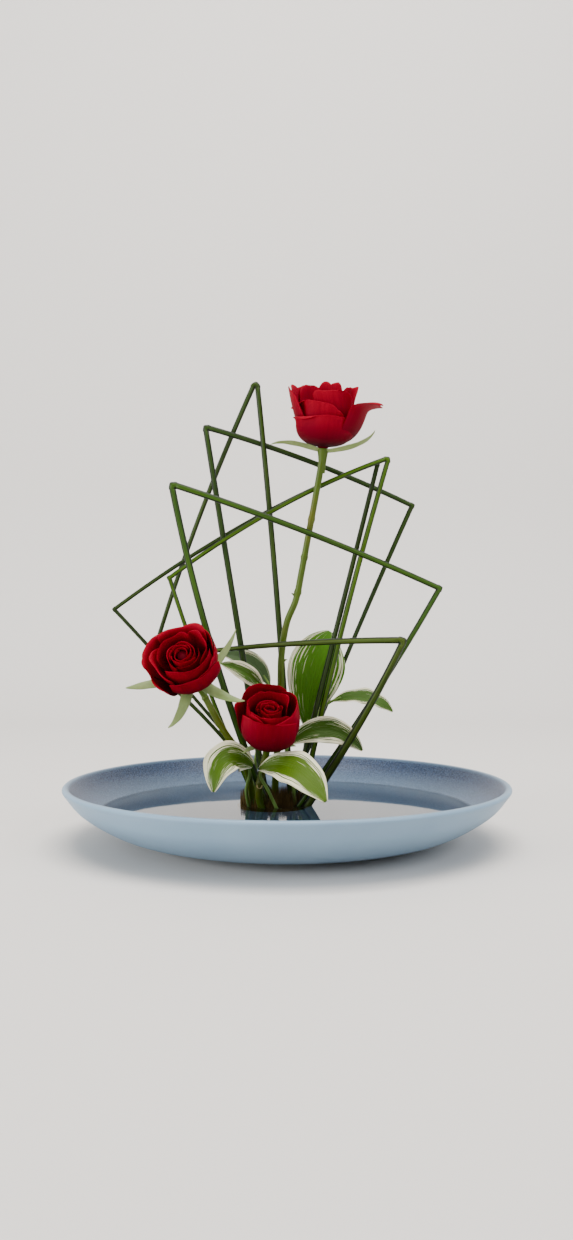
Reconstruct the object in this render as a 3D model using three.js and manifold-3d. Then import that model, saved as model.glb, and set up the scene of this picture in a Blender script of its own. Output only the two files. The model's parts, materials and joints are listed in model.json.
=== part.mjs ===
// An ikebana arrangement: folded green rushes, three red roses and seven variegated hosta leaves
// stand on a pin holder in a wide, shallow bowl of water.
// Millimetres. The bowl's foot stands on z = 0 round the Z axis, and the viewer looks along +Y.
import * as THREE from "three";
import { mergeVertices } from "three/addons/utils/BufferGeometryUtils.js";
import Module from "manifold-3d";

const wasm = await Module();
wasm.setup();
const { clamp, degToRad, lerp } = THREE.MathUtils;

// ---------------------------------------------------------------- driving sizes

const GAP = 0.3; // left between two pieces that touch

const BOWL = {
  radius: 200,
  height: 52,
  footRadius: 104,
  footWidth: 12,
  footRecess: 2.5,
  floor: 8,
  sides: 48,
};
const WATER = { level: 28, radius: 168 };

const HOLDER = {
  x: -13,
  y: 30,
  radius: 33.2,
  thickness: 10,
  pinRadius: 0.75,
  pinTop: 40.5,
  pinShoulder: 37.5,
  pitch: 5.6,
  sides: 32,
};
const HOLDER_TOP = BOWL.floor + GAP + HOLDER.thickness;
const STEM_FOOT = HOLDER_TOP + 0.7; // the height at which each stem is stuck on the pins

const RUSH_SIDES = 8;
const FOLD_STEP = 0.5; // radians between the sections of a fold
const FOLD_BULGE = 0.12; // how far a fold's outer side stands out, as a share of the rush's radius
const FOLD_SPREAD = 0.15; // and how much wider the rush gets there
const FOLD_CREASE = 0.25; // how far the sections stay from the crease that they turn round
const STEM_SIDES = 7;
const STALK_SIDES = 6;
const PIN_SIDES = 3;
const BLADE = 0.8; // thickness of every leaf, sepal and petal

// Six rushes. Each starts at its thick end, is folded at each corner and comes back to the pin holder,
// except the front one, which ends in the air behind the left rose. A bow is how far the middle of a
// straight run stands off the line between its two ends.
const RUSHES = [
  {
    name: "rush_tall",
    corners: [[4, 37.5, STEM_FOOT], [-27.5, 2.5, 417], [-130, 46.5, 153], [-11.5, 48.5, STEM_FOOT]],
    bows: [[2.5, -1.5, 0], [-6, 2, 0], [8, -1, 2.5]],
    radii: [3, 1.7],
  },
  {
    name: "rush_high",
    corners: [[-17, 26.5, STEM_FOOT], [-74, 1.5, 373], [117.5, 38, 305.5], [-2, 50.5, STEM_FOOT]],
    bows: [[-0.5, 2.5, 0], [0, 1, 5], [-2, -1, 0.5]],
    radii: [3.1, 1.85],
  },
  {
    name: "rush_wide",
    corners: [[-15, 14, STEM_FOOT], [-102, -25, 318], [137.5, -5, 226.5], [4, 11, STEM_FOOT]],
    bows: [[-8, 0, 0], [-1, 0, 4.5], [4.5, 0, 0]],
    radii: [3.3, 2.2],
  },
  {
    name: "rush_bright",
    corners: [[12, 26, STEM_FOOT], [92.5, 5, 345.5], [-107.5, 10, 236.5], [-24, 27, STEM_FOOT]],
    bows: [[-3.5, 0, 0], [0, -7, 9], [-4, 0, 0]],
    radii: [2.7, 1.7],
  },
  {
    name: "rush_far_left",
    corners: [[2, 22, STEM_FOOT], [83.5, 12, 343], [-161.5, 32, 208], [-1.5, 45.5, STEM_FOOT]],
    bows: [[0.5, 0, 0], [0.5, -1, 11.5], [4, 0, 0]],
    radii: [2.6, 1.5],
  },
  {
    name: "rush_front",
    corners: [[12.5, 14.5, STEM_FOOT], [101, -46, 180.5], [-84.5, 28, 167.5]],
    bows: [[5, 0, 1], [0, -2, 3]],
    radii: [3.8, 2.1],
  },
];

// Seven hosta leaves: the stalk's points from the pin holder up, then the midrib's base, middle and tip.
// "facing" is the way the upper face looks, "belly" how far along the blade it is widest.
const LEAVES = [
  {
    name: "leaf_tall",
    stalk: [[9, 43, STEM_FOOT], [17, 41, 79], [20, 43, 108]],
    stalkRadius: 1.6,
    midrib: [[18.5, 44, 97], [26, 36, 148], [41, 43, 187]],
    halfWidth: 27,
    belly: 0.56,
    facing: [0.1, -1, 0.2],
    fold: 0.15,
    wave: 1.2,
  },
  {
    name: "leaf_right",
    stalk: [[15.5, 38, STEM_FOOT], [17, 33, 81], [24, 31, 103], [38, 28.5, 120], [50, 25.5, 126]],
    stalkRadius: 1.4,
    midrib: [[43, 27.5, 122.5], [72, 21.5, 125.5], [97, 15, 113.5]],
    halfWidth: 11,
    belly: 0.5,
    facing: [0, -0.6, 0.8],
    fold: 0.3,
    wave: 1,
  },
  {
    name: "leaf_mid",
    stalk: [[8, 18.5, STEM_FOOT], [4.5, 12, 56], [-0.5, 5, 78], [6, 1, 92]],
    stalkRadius: 1.4,
    midrib: [[2, 2, 86], [37, -1.5, 98.5], [68, -2.5, 80]],
    halfWidth: 12.5,
    belly: 0.5,
    facing: [0, -1, 0.25],
    fold: 0.2,
    wave: 1,
  },
  {
    name: "leaf_front",
    stalk: [[-6, 4, STEM_FOOT], [-17, -8, 45], [-24, -14, 60], [-18, -20, 68]],
    stalkRadius: 1.4,
    midrib: [[-25, -16, 65], [5, -38, 68], [33, -60, 43]],
    halfWidth: 18.5,
    belly: 0.55,
    facing: [0.1, -0.8, 0.6],
    fold: 0.2,
    wave: 1.4,
  },
  {
    name: "leaf_left",
    stalk: [[-33, 12, STEM_FOOT], [-37, 1, 43], [-33.5, -10, 61], [-36, -15, 72]],
    stalkRadius: 1.4,
    midrib: [[-30.5, -13.5, 68], [-54, -26, 74], [-64, -38, 48]],
    halfWidth: 18,
    belly: 0.5,
    facing: [-0.3, -0.85, 0.5],
    fold: 0.2,
    wave: 1.2,
  },
  {
    name: "leaf_back_upper",
    stalk: [[-33.5, 48.5, STEM_FOOT], [-28, 53, 64], [-16, 50, 103], [-15, 45, 133], [-22, 43, 146]],
    stalkRadius: 1.4,
    midrib: [[-17, 44, 137], [-34, 40, 158], [-61, 35, 166]],
    halfWidth: 10,
    belly: 0.5,
    facing: [-0.2, -1, 0.3],
    fold: 0.2,
    wave: 1,
  },
  {
    name: "leaf_back_lower",
    stalk: [[-30, 32, STEM_FOOT], [-29.5, 31, 67], [-22, 22, 105], [-22, 12, 130], [-28, 9, 141]],
    stalkRadius: 1.4,
    midrib: [[-22, 12, 134], [-38, 5, 150], [-60, 0, 158.5]],
    halfWidth: 8.5,
    belly: 0.5,
    facing: [-0.3, -0.9, 0.4],
    fold: 0.25,
    wave: 1,
  },
];

// Three roses. "seat" is where the bloom sits on its hip and "axis" the way it opens. Sepals are given
// by their middle and tip, "sepalHalf" is half their width and "sepalFacing" the way that they look. The
// heart's petals follow a rule, and the outer ones are set by hand, from the inside out: "at" is the
// azimuth in degrees round the axis and "half" half the width, then come the radii of the belly, the
// shoulder and the lip, the height of the lip, how far it rolls out and how many degrees the petal leans.
// A "slant" lowers one end of the lip and raises the other, by that share of the petal's height.
const ROSES = [
  {
    name: "rose_top",
    seat: [32.3, -8, 352],
    axis: [0.04, -0.1, 1],
    heart: { petals: 1, radius: 12, height: 46, turn: 20 },
    petals: [
      { at: -52, half: 19, belly: 24, shoulder: 24, lip: 22, height: 52, roll: 2, lean: -24 },
      { at: 70, half: 13, belly: 22, shoulder: 20, lip: 20, height: 63.5, roll: 1, lean: 0 },
      { at: 118, half: 14, belly: 23, shoulder: 22, lip: 23, height: 59, roll: 1, lean: 0 },
      { at: -125, half: 30, belly: 26, shoulder: 26, lip: 24, height: 42, roll: 3, lean: 8, slant: 0.2 },
      { at: 142, half: 18, belly: 24, shoulder: 25, lip: 29, height: 59, roll: 2, lean: 0 },
      { at: 42, half: 12, belly: 25, shoulder: 30, lip: 32, height: 60, roll: 2, lean: 0 },
      { at: 168, half: 27, belly: 25, shoulder: 25, lip: 36, height: 52.5, roll: -2, lean: 0 },
      { at: 75, half: 30, belly: 31, shoulder: 31, lip: 33, height: 38, roll: 3, lean: 0 },
      { at: 14, half: 18, belly: 29, shoulder: 31, lip: 38, height: 41, roll: 2, lean: 0 },
      { at: -22, half: 20, belly: 29, shoulder: 32, lip: 42, height: 46, roll: 12, lean: 0 },
      { at: -103, half: 40, belly: 29, shoulder: 30, lip: 27, height: 29, roll: 3, lean: 4, slant: 0.13 },
    ],
    stem: [
      [-12.5, 41, STEM_FOOT], [-6, 20, 133], [-5, 14, 166], [0, 8, 196], [8, 5, 216],
      [13.5, 1, 243], [18.5, -2, 270], [24.5, -4, 302], [30, -7, 333], [32, -8, 346],
    ],
    stemRadius: 3,
    hipRadius: 5,
    sepalHalf: 3.4,
    sepalFacing: [0, -0.8, -0.8],
    sepals: [
      [[4, -20, 355.5], [-14.5, -22, 353.5]],
      [[63, -22, 354], [78, -22, 366]],
      [[34, 14, 350], [35, 26, 341]],
    ],
  },
  {
    name: "rose_left",
    seat: [-86, -27, 150.5],
    axis: [-0.13, -0.82, 0.56],
    heart: { petals: 2, radius: 14, height: 36, turn: 70 },
    petals: [
      { at: 130, half: 20, belly: 21, shoulder: 19, lip: 19, height: 38, roll: 1, lean: 0 },
      { at: 20, half: 21, belly: 23, shoulder: 21, lip: 21, height: 38, roll: 1, lean: 0 },
      { at: -160, half: 21, belly: 25, shoulder: 23, lip: 25, height: 35, roll: 2, lean: 0 },
      { at: 85, half: 24, belly: 27, shoulder: 26, lip: 27, height: 35, roll: 4, lean: 0 },
      { at: -75, half: 26, belly: 28, shoulder: 25, lip: 19, height: 39, roll: 3, lean: 10 },
      { at: -15, half: 23, belly: 30, shoulder: 30, lip: 27, height: 34, roll: 1.5, lean: 0 },
      { at: 145, half: 25, belly: 30, shoulder: 30, lip: 31, height: 32, roll: 4, lean: 0 },
      { at: 38, half: 25, belly: 29, shoulder: 28, lip: 27, height: 34, roll: 2.5, lean: 0 },
      { at: 205, half: 22, belly: 32, shoulder: 31, lip: 32, height: 28, roll: 2.5, lean: 0 },
      { at: -65, half: 26, belly: 33, shoulder: 32, lip: 27, height: 32, roll: 2, lean: 0 },
    ],
    stem: [
      [-29, 16, STEM_FOOT], [-33, 6, 45], [-37.5, -3, 67], [-46, -8, 83], [-55.5, -11, 97],
      [-66.5, -13, 116], [-75, -13, 132], [-82, -15.5, 143], [-85, -21, 147],
    ],
    stemRadius: 3.1,
    hipRadius: 5,
    sepalHalf: 5.2,
    sepalFacing: [0.13, 0.82, -0.56],
    sepals: [
      [[-62.5, -15, 161.5], [-46, -5, 189.5]],
      [[-58.5, -38, 133.5], [-36.5, -45, 128]],
      [[-90.5, -46, 121.5], [-102, -54, 105.5]],
      [[-121, -25, 141.5], [-142.5, -25, 138]],
    ],
  },
  {
    name: "rose_low",
    seat: [-17.5, -12, 88],
    axis: [0.07, -0.55, 0.83],
    heart: { petals: 2, radius: 11, height: 42, turn: 130 },
    petals: [
      { at: 60, half: 20, belly: 18, shoulder: 16, lip: 15, height: 48, roll: 1, lean: 0 },
      { at: 150, half: 20, belly: 20, shoulder: 18, lip: 17, height: 48, roll: 1, lean: 0 },
      { at: -90, half: 23, belly: 22, shoulder: 20, lip: 18, height: 44, roll: 1, lean: 0 },
      { at: 205, half: 20, belly: 24, shoulder: 22, lip: 19, height: 43, roll: 1, lean: 0 },
      { at: 34, half: 25, belly: 26, shoulder: 24, lip: 22, height: 46, roll: 1, lean: 0 },
      { at: 176, half: 9, belly: 27, shoulder: 26, lip: 29, height: 42, roll: 1, lean: 0 },
      { at: 100, half: 28, belly: 28, shoulder: 26, lip: 24, height: 49, roll: 1, lean: 0 },
      { at: -20, half: 28, belly: 30, shoulder: 28, lip: 22, height: 44, roll: 1, lean: 0 },
      { at: -98, half: 31, belly: 31, shoulder: 28, lip: 22, height: 42, roll: 2, lean: 0 },
    ],
    stem: [
      [-18, 5, STEM_FOOT], [-23.5, 2.5, 29], [-25.5, -3, 42], [-23, -6, 60], [-19, -8, 77],
      [-17.5, -11, 85.5],
    ],
    stemRadius: 3.3,
    hipRadius: 5,
    sepalHalf: 4,
    sepalFacing: [-0.07, 0.55, -0.83],
    sepals: [
      [[-30, -18, 85], [-39, -22, 80]],
      [[-3, -16, 87], [8, -20, 86]],
    ],
  },
];

// ---------------------------------------------------------------- materials

const standard = (color, roughness, metalness = 0) =>
  new THREE.MeshStandardMaterial({ color, roughness, metalness, side: THREE.DoubleSide });

const MATERIALS = {
  glaze: standard("#8fa6b5", 0.35),
  water: standard("#77838d", 0.05),
  brass: standard("#8a6d35", 0.4, 1),
  rush: standard("#3f5f2a", 0.5),
  stem: standard("#6b7a1c", 0.5),
  petal: standard("#8c0010", 0.6),
  leaf: standard("#4f7010", 0.5),
};

// ---------------------------------------------------------------- solids

const vector = ([x, y, z]) => new THREE.Vector3(x, y, z);

// A closed geometry as a solid that can be joined and cut.
function solid(geometry) {
  geometry.deleteAttribute("normal");
  geometry.deleteAttribute("uv");
  const merged = mergeVertices(geometry, 1e-4);
  const mesh = new wasm.Mesh({
    numProp: 3,
    vertProperties: new Float32Array(merged.getAttribute("position").array),
    triVerts: new Uint32Array(merged.index.array),
  });
  return new wasm.Manifold(mesh);
}

// Points and triangles as a solid.
function solidOf(points, triangles) {
  const geometry = new THREE.BufferGeometry().setFromPoints(points);
  geometry.setIndex(triangles.flat());
  return solid(geometry);
}

// Solids that grow from each other, as one body. A pocket of air that their walls close in is filled.
function fuse(solids) {
  const whole = solids.reduce((sum, next) => sum.add(next));
  const bodies = whole.decompose().sort((a, b) => b.volume() - a.volume());
  return bodies[0];
}

const group = new THREE.Group();

function place(name, body, material) {
  const { vertProperties, triVerts } = body.getMesh();
  const geometry = new THREE.BufferGeometry();
  geometry.setAttribute("position", new THREE.BufferAttribute(new Float32Array(vertProperties), 3));
  geometry.setIndex(new THREE.BufferAttribute(new Uint32Array(triVerts), 1));
  geometry.computeVertexNormals();
  const mesh = new THREE.Mesh(geometry, material);
  mesh.name = name;
  group.add(mesh);
  return mesh;
}

// A closed profile of [radius, height] pairs, turned round the Z axis.
function turned(profile, sides) {
  const points = profile.map(([radius, height]) => new THREE.Vector2(radius, height));
  return solid(new THREE.LatheGeometry(points, sides).rotateX(Math.PI / 2));
}

// A solid through a row of rings, each a loop of as many points, with both ends closed.
function loft(rings) {
  const sides = rings[0].length;
  const points = rings.flat();
  const triangles = [];
  const at = (ring, i) => ring * sides + (i % sides);
  for (let ring = 0; ring + 1 < rings.length; ring += 1) {
    for (let i = 0; i < sides; i += 1) {
      triangles.push([at(ring, i), at(ring, i + 1), at(ring + 1, i + 1)]);
      triangles.push([at(ring, i), at(ring + 1, i + 1), at(ring + 1, i)]);
    }
  }
  const last = rings.length - 1;
  for (let i = 1; i + 1 < sides; i += 1) {
    triangles.push([at(0, 0), at(0, i + 1), at(0, i)]);
    triangles.push([at(last, 0), at(last, i), at(last, i + 1)]);
  }
  return solidOf(points, triangles);
}

// An oval ring round a point: "thick" along one direction and "wide" along the other.
function ring(centre, thickWay, thick, wideWay, wide, sides) {
  const points = [];
  for (let i = 0; i < sides; i += 1) {
    const angle = (2 * Math.PI * i) / sides;
    const point = centre.clone();
    point.addScaledVector(thickWay, thick * Math.cos(angle));
    point.addScaledVector(wideWay, wide * Math.sin(angle));
    points.push(point);
  }
  return points;
}

// A stem's foot is cut level: its ring's points slide along the stem to the foot's height.
function cutLevel(points, along) {
  points.forEach((point) => point.addScaledVector(along, (STEM_FOOT - point.z) / along.z));
  return points;
}

// A smooth round stem through points, with a radius at each; the rings turn with it and don't twist.
function stalk(route, radii, sides, steps) {
  const curve = new THREE.CatmullRomCurve3(route, false, "centripetal");
  const onPins = route[0].z === STEM_FOOT;
  const rings = [];
  let side = new THREE.Vector3(1, 0, 0);
  for (let step = 0; step <= steps; step += 1) {
    const share = step / steps;
    const centre = curve.getPoint(share);
    const along = curve.getTangent(share);
    side = side.clone().addScaledVector(along, -along.dot(side)).normalize();
    const across = along.clone().cross(side);
    const spot = share * (radii.length - 1);
    const before = Math.min(Math.floor(spot), radii.length - 2);
    const radius = lerp(radii[before], radii[before + 1], spot - before);
    const points = ring(centre, side, radius, across, radius, sides);
    rings.push(step === 0 && onPins ? cutLevel(points, along) : points);
  }
  return loft(rings);
}

// A thin curved blade: surface(u, v) gives a point for u from -1 to 1 across and v from 0 to 1 along.
// Both faces are split into triangles alike, half a thickness to each side of the surface.
function blade(surface, columns, rows, thickness) {
  const STEP = 1e-3;
  const faces = [[], []];
  for (let row = 0; row <= rows; row += 1) {
    for (let column = 0; column <= columns; column += 1) {
      const u = -1 + (2 * column) / columns;
      const v = row / rows;
      const point = surface(u, v);
      const alongU = surface(u + STEP, v).sub(surface(u - STEP, v));
      const alongV = surface(u, v + STEP).sub(surface(u, v - STEP));
      const normal = alongU.cross(alongV).normalize();
      faces[0].push(point.clone().addScaledVector(normal, thickness / 2));
      faces[1].push(point.clone().addScaledVector(normal, -thickness / 2));
    }
  }
  const width = columns + 1;
  const back = faces[0].length;
  const triangles = [];
  for (let row = 0; row < rows; row += 1) {
    for (let column = 0; column < columns; column += 1) {
      const a = row * width + column;
      const [b, c, d] = [a + 1, a + width + 1, a + width];
      triangles.push([a, b, c], [a, c, d]);
      triangles.push([back + a, back + c, back + b], [back + a, back + d, back + c]);
    }
  }
  const edge = [];
  for (let column = 0; column < columns; column += 1) edge.push(column);
  for (let row = 0; row < rows; row += 1) edge.push(row * width + columns);
  for (let column = columns; column > 0; column -= 1) edge.push(rows * width + column);
  for (let row = rows; row > 0; row -= 1) edge.push(row * width);
  edge.forEach((here, i) => {
    const next = edge[(i + 1) % edge.length];
    triangles.push([here, back + here, back + next], [here, back + next, next]);
  });
  return solidOf([...faces[0], ...faces[1]], triangles);
}

// ---------------------------------------------------------------- bowl and water

function makeBowl() {
  const { radius, height, footRadius, footWidth, footRecess, floor } = BOWL;
  const profile = [
    [0, footRecess],
    [footRadius - footWidth - 2, footRecess],
    [footRadius - footWidth, 0],
    [footRadius, 0],
    [footRadius + 3, footRecess + 0.3],
    [129, 5.3],
    [153, 12],
    [173, 22.5],
    [187.5, 33],
    [196.5, 44],
    [radius, height - 2.6],
    [radius - 1.4, height - 0.6],
    [radius - 3.4, height],
    [radius - 5.2, height - 0.7],
    [radius - 6.2, height - 2.2],
    [186, 41],
    [WATER.radius, WATER.level],
    [150, 18.5],
    [128, 11],
    [100, floor + 0.2],
    [0, floor],
  ];
  return turned(profile, BOWL.sides);
}

// The water fills the bowl up to its level, with a plain round hole for the pin holder and its stems
// and another for the front rush, which leans out over the edge of the pin holder.
function makeWater() {
  const { floor, sides } = BOWL;
  const filled = turned(
    [
      [0, floor + GAP],
      [100, floor + 0.2 + GAP],
      [127.8, 11 + GAP + 0.1],
      [149.4, 18.5 + GAP],
      [WATER.radius - 0.6, WATER.level],
      [0, WATER.level],
    ],
    sides,
  );
  const hole = turned(
    [[0, 0], [HOLDER.radius + 0.5, 0], [HOLDER.radius + 0.5, BOWL.height], [0, BOWL.height]],
    HOLDER.sides,
  );
  const front = RUSHES[RUSHES.length - 1];
  const leaning = makeRush({ ...front, radii: front.radii.map((radius) => radius + GAP) });
  return filled.subtract(hole.translate([HOLDER.x, HOLDER.y, 0])).subtract(leaning);
}

// ---------------------------------------------------------------- rushes

// A point of a bowed run, and the way it goes there.
function bowed(start, end, bow, share) {
  const point = start.clone().lerp(end, share).addScaledVector(bow, 4 * share * (1 - share));
  const along = end.clone().sub(start).addScaledVector(bow, 4 * (1 - 2 * share)).normalize();
  return { point, along };
}

// The two directions of a rush's section: across its flat side, and along it, which is level.
function sectionWays(along) {
  const wideWay = new THREE.Vector3(0, 1, 0).addScaledVector(along, -along.y).normalize();
  return { wideWay, thickWay: wideWay.clone().cross(along) };
}

// The sections of a fold turn round the crease, where the inner sides of its two runs meet.
function foldRings(corner, before, after, radius) {
  const turn = before.angleTo(after);
  const outward = before.clone().sub(after).normalize();
  const crease = corner.clone().addScaledVector(outward, -radius / Math.cos(turn / 2));
  const steps = Math.round(turn / FOLD_STEP);
  const rings = [];
  for (let step = 1; step < steps; step += 1) {
    const share = step / steps;
    const along = before.clone().multiplyScalar(Math.sin((1 - share) * turn));
    along.addScaledVector(after, Math.sin(share * turn)).normalize();
    const { wideWay, thickWay } = sectionWays(along);
    const pressed = Math.sin(Math.PI * share);
    const thick = radius * (1 + FOLD_BULGE * pressed);
    const reach = Math.sign(thickWay.dot(outward)) * (thick + FOLD_CREASE);
    const centre = crease.clone().addScaledVector(thickWay, reach);
    rings.push(ring(centre, thickWay, thick, wideWay, radius * (1 + FOLD_SPREAD * pressed), RUSH_SIDES));
  }
  return rings;
}

function makeRush({ corners, bows, radii }) {
  const stops = corners.map(vector);
  const lengths = stops.slice(1).map((stop, i) => stop.distanceTo(stops[i]));
  const total = lengths.reduce((sum, length) => sum + length, 0);
  const rings = [];
  let travelled = 0;
  let cut = 0; // how much of this run the fold before it takes
  lengths.forEach((length, run) => {
    const [start, end, bow] = [stops[run], stops[run + 1], vector(bows[run])];
    const folded = run < lengths.length - 1;
    const before = bowed(start, end, bow, 1).along;
    const after = folded ? bowed(end, stops[run + 2], vector(bows[run + 1]), 0).along : before;
    const foldRadius = lerp(radii[0], radii[1], (travelled + length) / total);
    const nextCut = foldRadius * Math.tan(before.angleTo(after) / 2);
    const pieces = Math.max(2, Math.round(length / 60));
    for (let piece = 0; piece <= pieces; piece += 1) {
      const share = lerp(cut / length, 1 - nextCut / length, piece / pieces);
      const { point, along } = bowed(start, end, bow, share);
      const { wideWay, thickWay } = sectionWays(along);
      const radius = lerp(radii[0], radii[1], (travelled + share * length) / total);
      const points = ring(point, thickWay, radius, wideWay, radius, RUSH_SIDES);
      rings.push(Math.abs(point.z - STEM_FOOT) < 0.01 ? cutLevel(points, along) : points);
    }
    if (folded) rings.push(...foldRings(end, before, after, foldRadius));
    travelled += length;
    cut = nextCut;
  });
  return loft(rings);
}

// ---------------------------------------------------------------- leaves and sepals

// A pointed blade over its midrib, folded a little along it, with a waved edge.
function leafSurface({ midrib, halfWidth, belly, facing, fold, wave }) {
  const [base, middle, tip] = midrib.map(vector);
  const bow = middle.clone().sub(base.clone().add(tip).multiplyScalar(0.5));
  const power = Math.log(0.5) / Math.log(belly);
  const WAVES = 3;
  return (u, v) => {
    const share = clamp(v, 0, 1);
    const { point, along } = bowed(base, tip, bow, share);
    const across = along.clone().cross(vector(facing)).normalize();
    const normal = across.clone().cross(along);
    const inside = 0.03 + 0.955 * v;
    const width = halfWidth * Math.sin(Math.PI * inside ** power) ** 0.8;
    const lift = Math.sin(2 * Math.PI * WAVES * v + 1.5 * Math.sign(u));
    point.addScaledVector(across, u * width * Math.cos(fold));
    point.addScaledVector(normal, Math.abs(u) * width * Math.sin(fold));
    point.addScaledVector(normal, wave * lift * u * u * Math.sin(Math.PI * share));
    return point;
  };
}

const LEAF_COLUMNS = 4;
const LEAF_ROWS = 10;

function makeLeaf(leaf) {
  const stem = stalk(
    leaf.stalk.map(vector),
    [leaf.stalkRadius * 1.15, leaf.stalkRadius, leaf.stalkRadius * 0.8],
    STALK_SIDES,
    12,
  );
  return fuse([stem, blade(leafSurface(leaf), LEAF_COLUMNS, LEAF_ROWS, BLADE)]);
}

// ---------------------------------------------------------------- roses

const GOLDEN_ANGLE = 137.5;
const PETAL_GRID = [4, 4]; // columns and rows of an outer petal
const HEART_GRID = [3, 2]; // and of the small ones in the heart
const PETAL_BASE = 1.6; // height above the seat at which the outermost petal grows
const PETAL_FOOT = 3.4; // radius at which the petals grow from the bud
const PETAL_STEP = 0.9; // each petal grows this much higher up the bud than the next one out
const PETAL_SPIRAL = 1.6; // one edge of each petal stands this far out and the other as far in

// One petal of a bloom that opens along +Z from its seat: a piece of a cup with a round top.
// It is as wide in millimetres at its lip as at its belly, and narrow where it grows from the heart.
// It starts at "base" above the seat, inside the bud, so that the cups nest without cutting each other.
function petalSurface({ at, half, base, belly, shoulder, lip, height, roll, lean, slant = 0 }) {
  const cup = new THREE.CubicBezierCurve(
    new THREE.Vector2(PETAL_FOOT, base),
    new THREE.Vector2(belly * 1.1, base + 0.04 * height),
    new THREE.Vector2(shoulder, lerp(base, height, 0.68)),
    new THREE.Vector2(lip, height),
  );
  return (u, v) => {
    const up = v * (1 - 0.16 * Math.abs(u) ** 3 - slant * u);
    const { x: radius, y: level } = cup.getPoint(clamp(up, 0, 1));
    const rolled = Math.max(0, (up - 0.75) / 0.25);
    const narrow = 0.45 + 0.55 * Math.sin((Math.PI / 2) * Math.min(1, up / 0.6));
    const angle = degToRad(at + lean * up) + (u * half * narrow) / Math.max(radius, 4);
    const out = radius + PETAL_SPIRAL * u + roll * rolled ** 2;
    const drop = 0.5 * roll * rolled ** 3;
    return new THREE.Vector3(out * Math.cos(angle), out * Math.sin(angle), level - drop);
  };
}

// The petals of the heart stand closer and lower in towards the middle, a golden angle apart.
function heartPetals({ petals, radius, height, turn }) {
  return Array.from({ length: petals }, (_, i) => {
    const outer = (i + 1) / petals;
    return {
      at: turn + i * GOLDEN_ANGLE,
      half: lerp(9, 17, outer),
      belly: radius * lerp(0.55, 1.1, outer),
      shoulder: radius * lerp(0.4, 0.95, outer),
      lip: radius * lerp(0.25, 0.9, outer),
      height: height * lerp(0.93, 1, Math.sin(Math.PI * outer)),
      roll: lerp(0.5, 1.5, outer),
      lean: 0,
    };
  });
}

// The tight bud in the middle, which the petals stand round and grow from.
function makeBud({ radius, height }) {
  const profile = [
    [0, 0.4],
    [4.4, 0.4],
    [6.2, 2.5],
    [6.2, height * 0.4],
    [radius * 0.3, height * 0.86],
    [0, height * 0.84],
  ];
  return turned(profile, 6);
}

function makeBloom({ heart, petals }) {
  const all = [...heartPetals(heart), ...petals];
  const blades = all.map((petal, i) => {
    const base = PETAL_BASE + PETAL_STEP * (all.length - 1 - i);
    const grid = i < heart.petals ? HEART_GRID : PETAL_GRID;
    return blade(petalSurface({ ...petal, base }), ...grid, BLADE);
  });
  return fuse([makeBud(heart), ...blades]);
}

function makeRoseStem(rose) {
  const seat = vector(rose.seat);
  const axis = vector(rose.axis).normalize();
  const points = rose.stem.map(vector);
  const stem = stalk(points, [1.08, 1, 1, 0.95, 1].map((k) => k * rose.stemRadius), STEM_SIDES, 16);
  const hip = stalk(
    [-7, -4.5, -2, 0].map((height) => seat.clone().addScaledVector(axis, height)),
    [rose.stemRadius * 0.8, rose.hipRadius * 0.85, rose.hipRadius, rose.hipRadius * 0.85],
    STEM_SIDES,
    6,
  );
  const sepalFoot = seat.clone().addScaledVector(axis, -2.5).toArray();
  const sepals = rose.sepals.map((reach) =>
    blade(
      leafSurface({
        midrib: [sepalFoot, ...reach],
        halfWidth: rose.sepalHalf,
        belly: 0.3,
        facing: rose.sepalFacing,
        fold: 0.1,
        wave: 0.3,
      }),
      2,
      6,
      BLADE,
    ),
  );
  return fuse([stem, hip, ...sepals]);
}

// ---------------------------------------------------------------- pin holder

// Where every stem and stalk passes between the pins: points on its middle line, with its radius.
function stemsAmongPins() {
  const places = [];
  const add = (point, radius) => {
    if (point.z < HOLDER.pinTop + 3) places.push({ point, radius });
  };
  for (const { corners, bows, radii } of RUSHES) {
    corners.slice(1).forEach((corner, run) => {
      for (let step = 0; step <= 100; step += 1) {
        const { point } = bowed(vector(corners[run]), vector(corner), vector(bows[run]), step / 100);
        add(point, run === 0 ? radii[0] : radii[1]);
      }
    });
  }
  const smooth = [
    ...LEAVES.map((leaf) => ({ points: leaf.stalk, radius: leaf.stalkRadius * 1.15 })),
    ...ROSES.map((rose) => ({ points: rose.stem, radius: rose.stemRadius * 1.08 })),
  ];
  for (const { points, radius } of smooth) {
    const curve = new THREE.CatmullRomCurve3(points.map(vector), false, "centripetal");
    for (let step = 0; step <= 200; step += 1) add(curve.getPoint(step / 200), radius);
  }
  return places;
}

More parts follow.
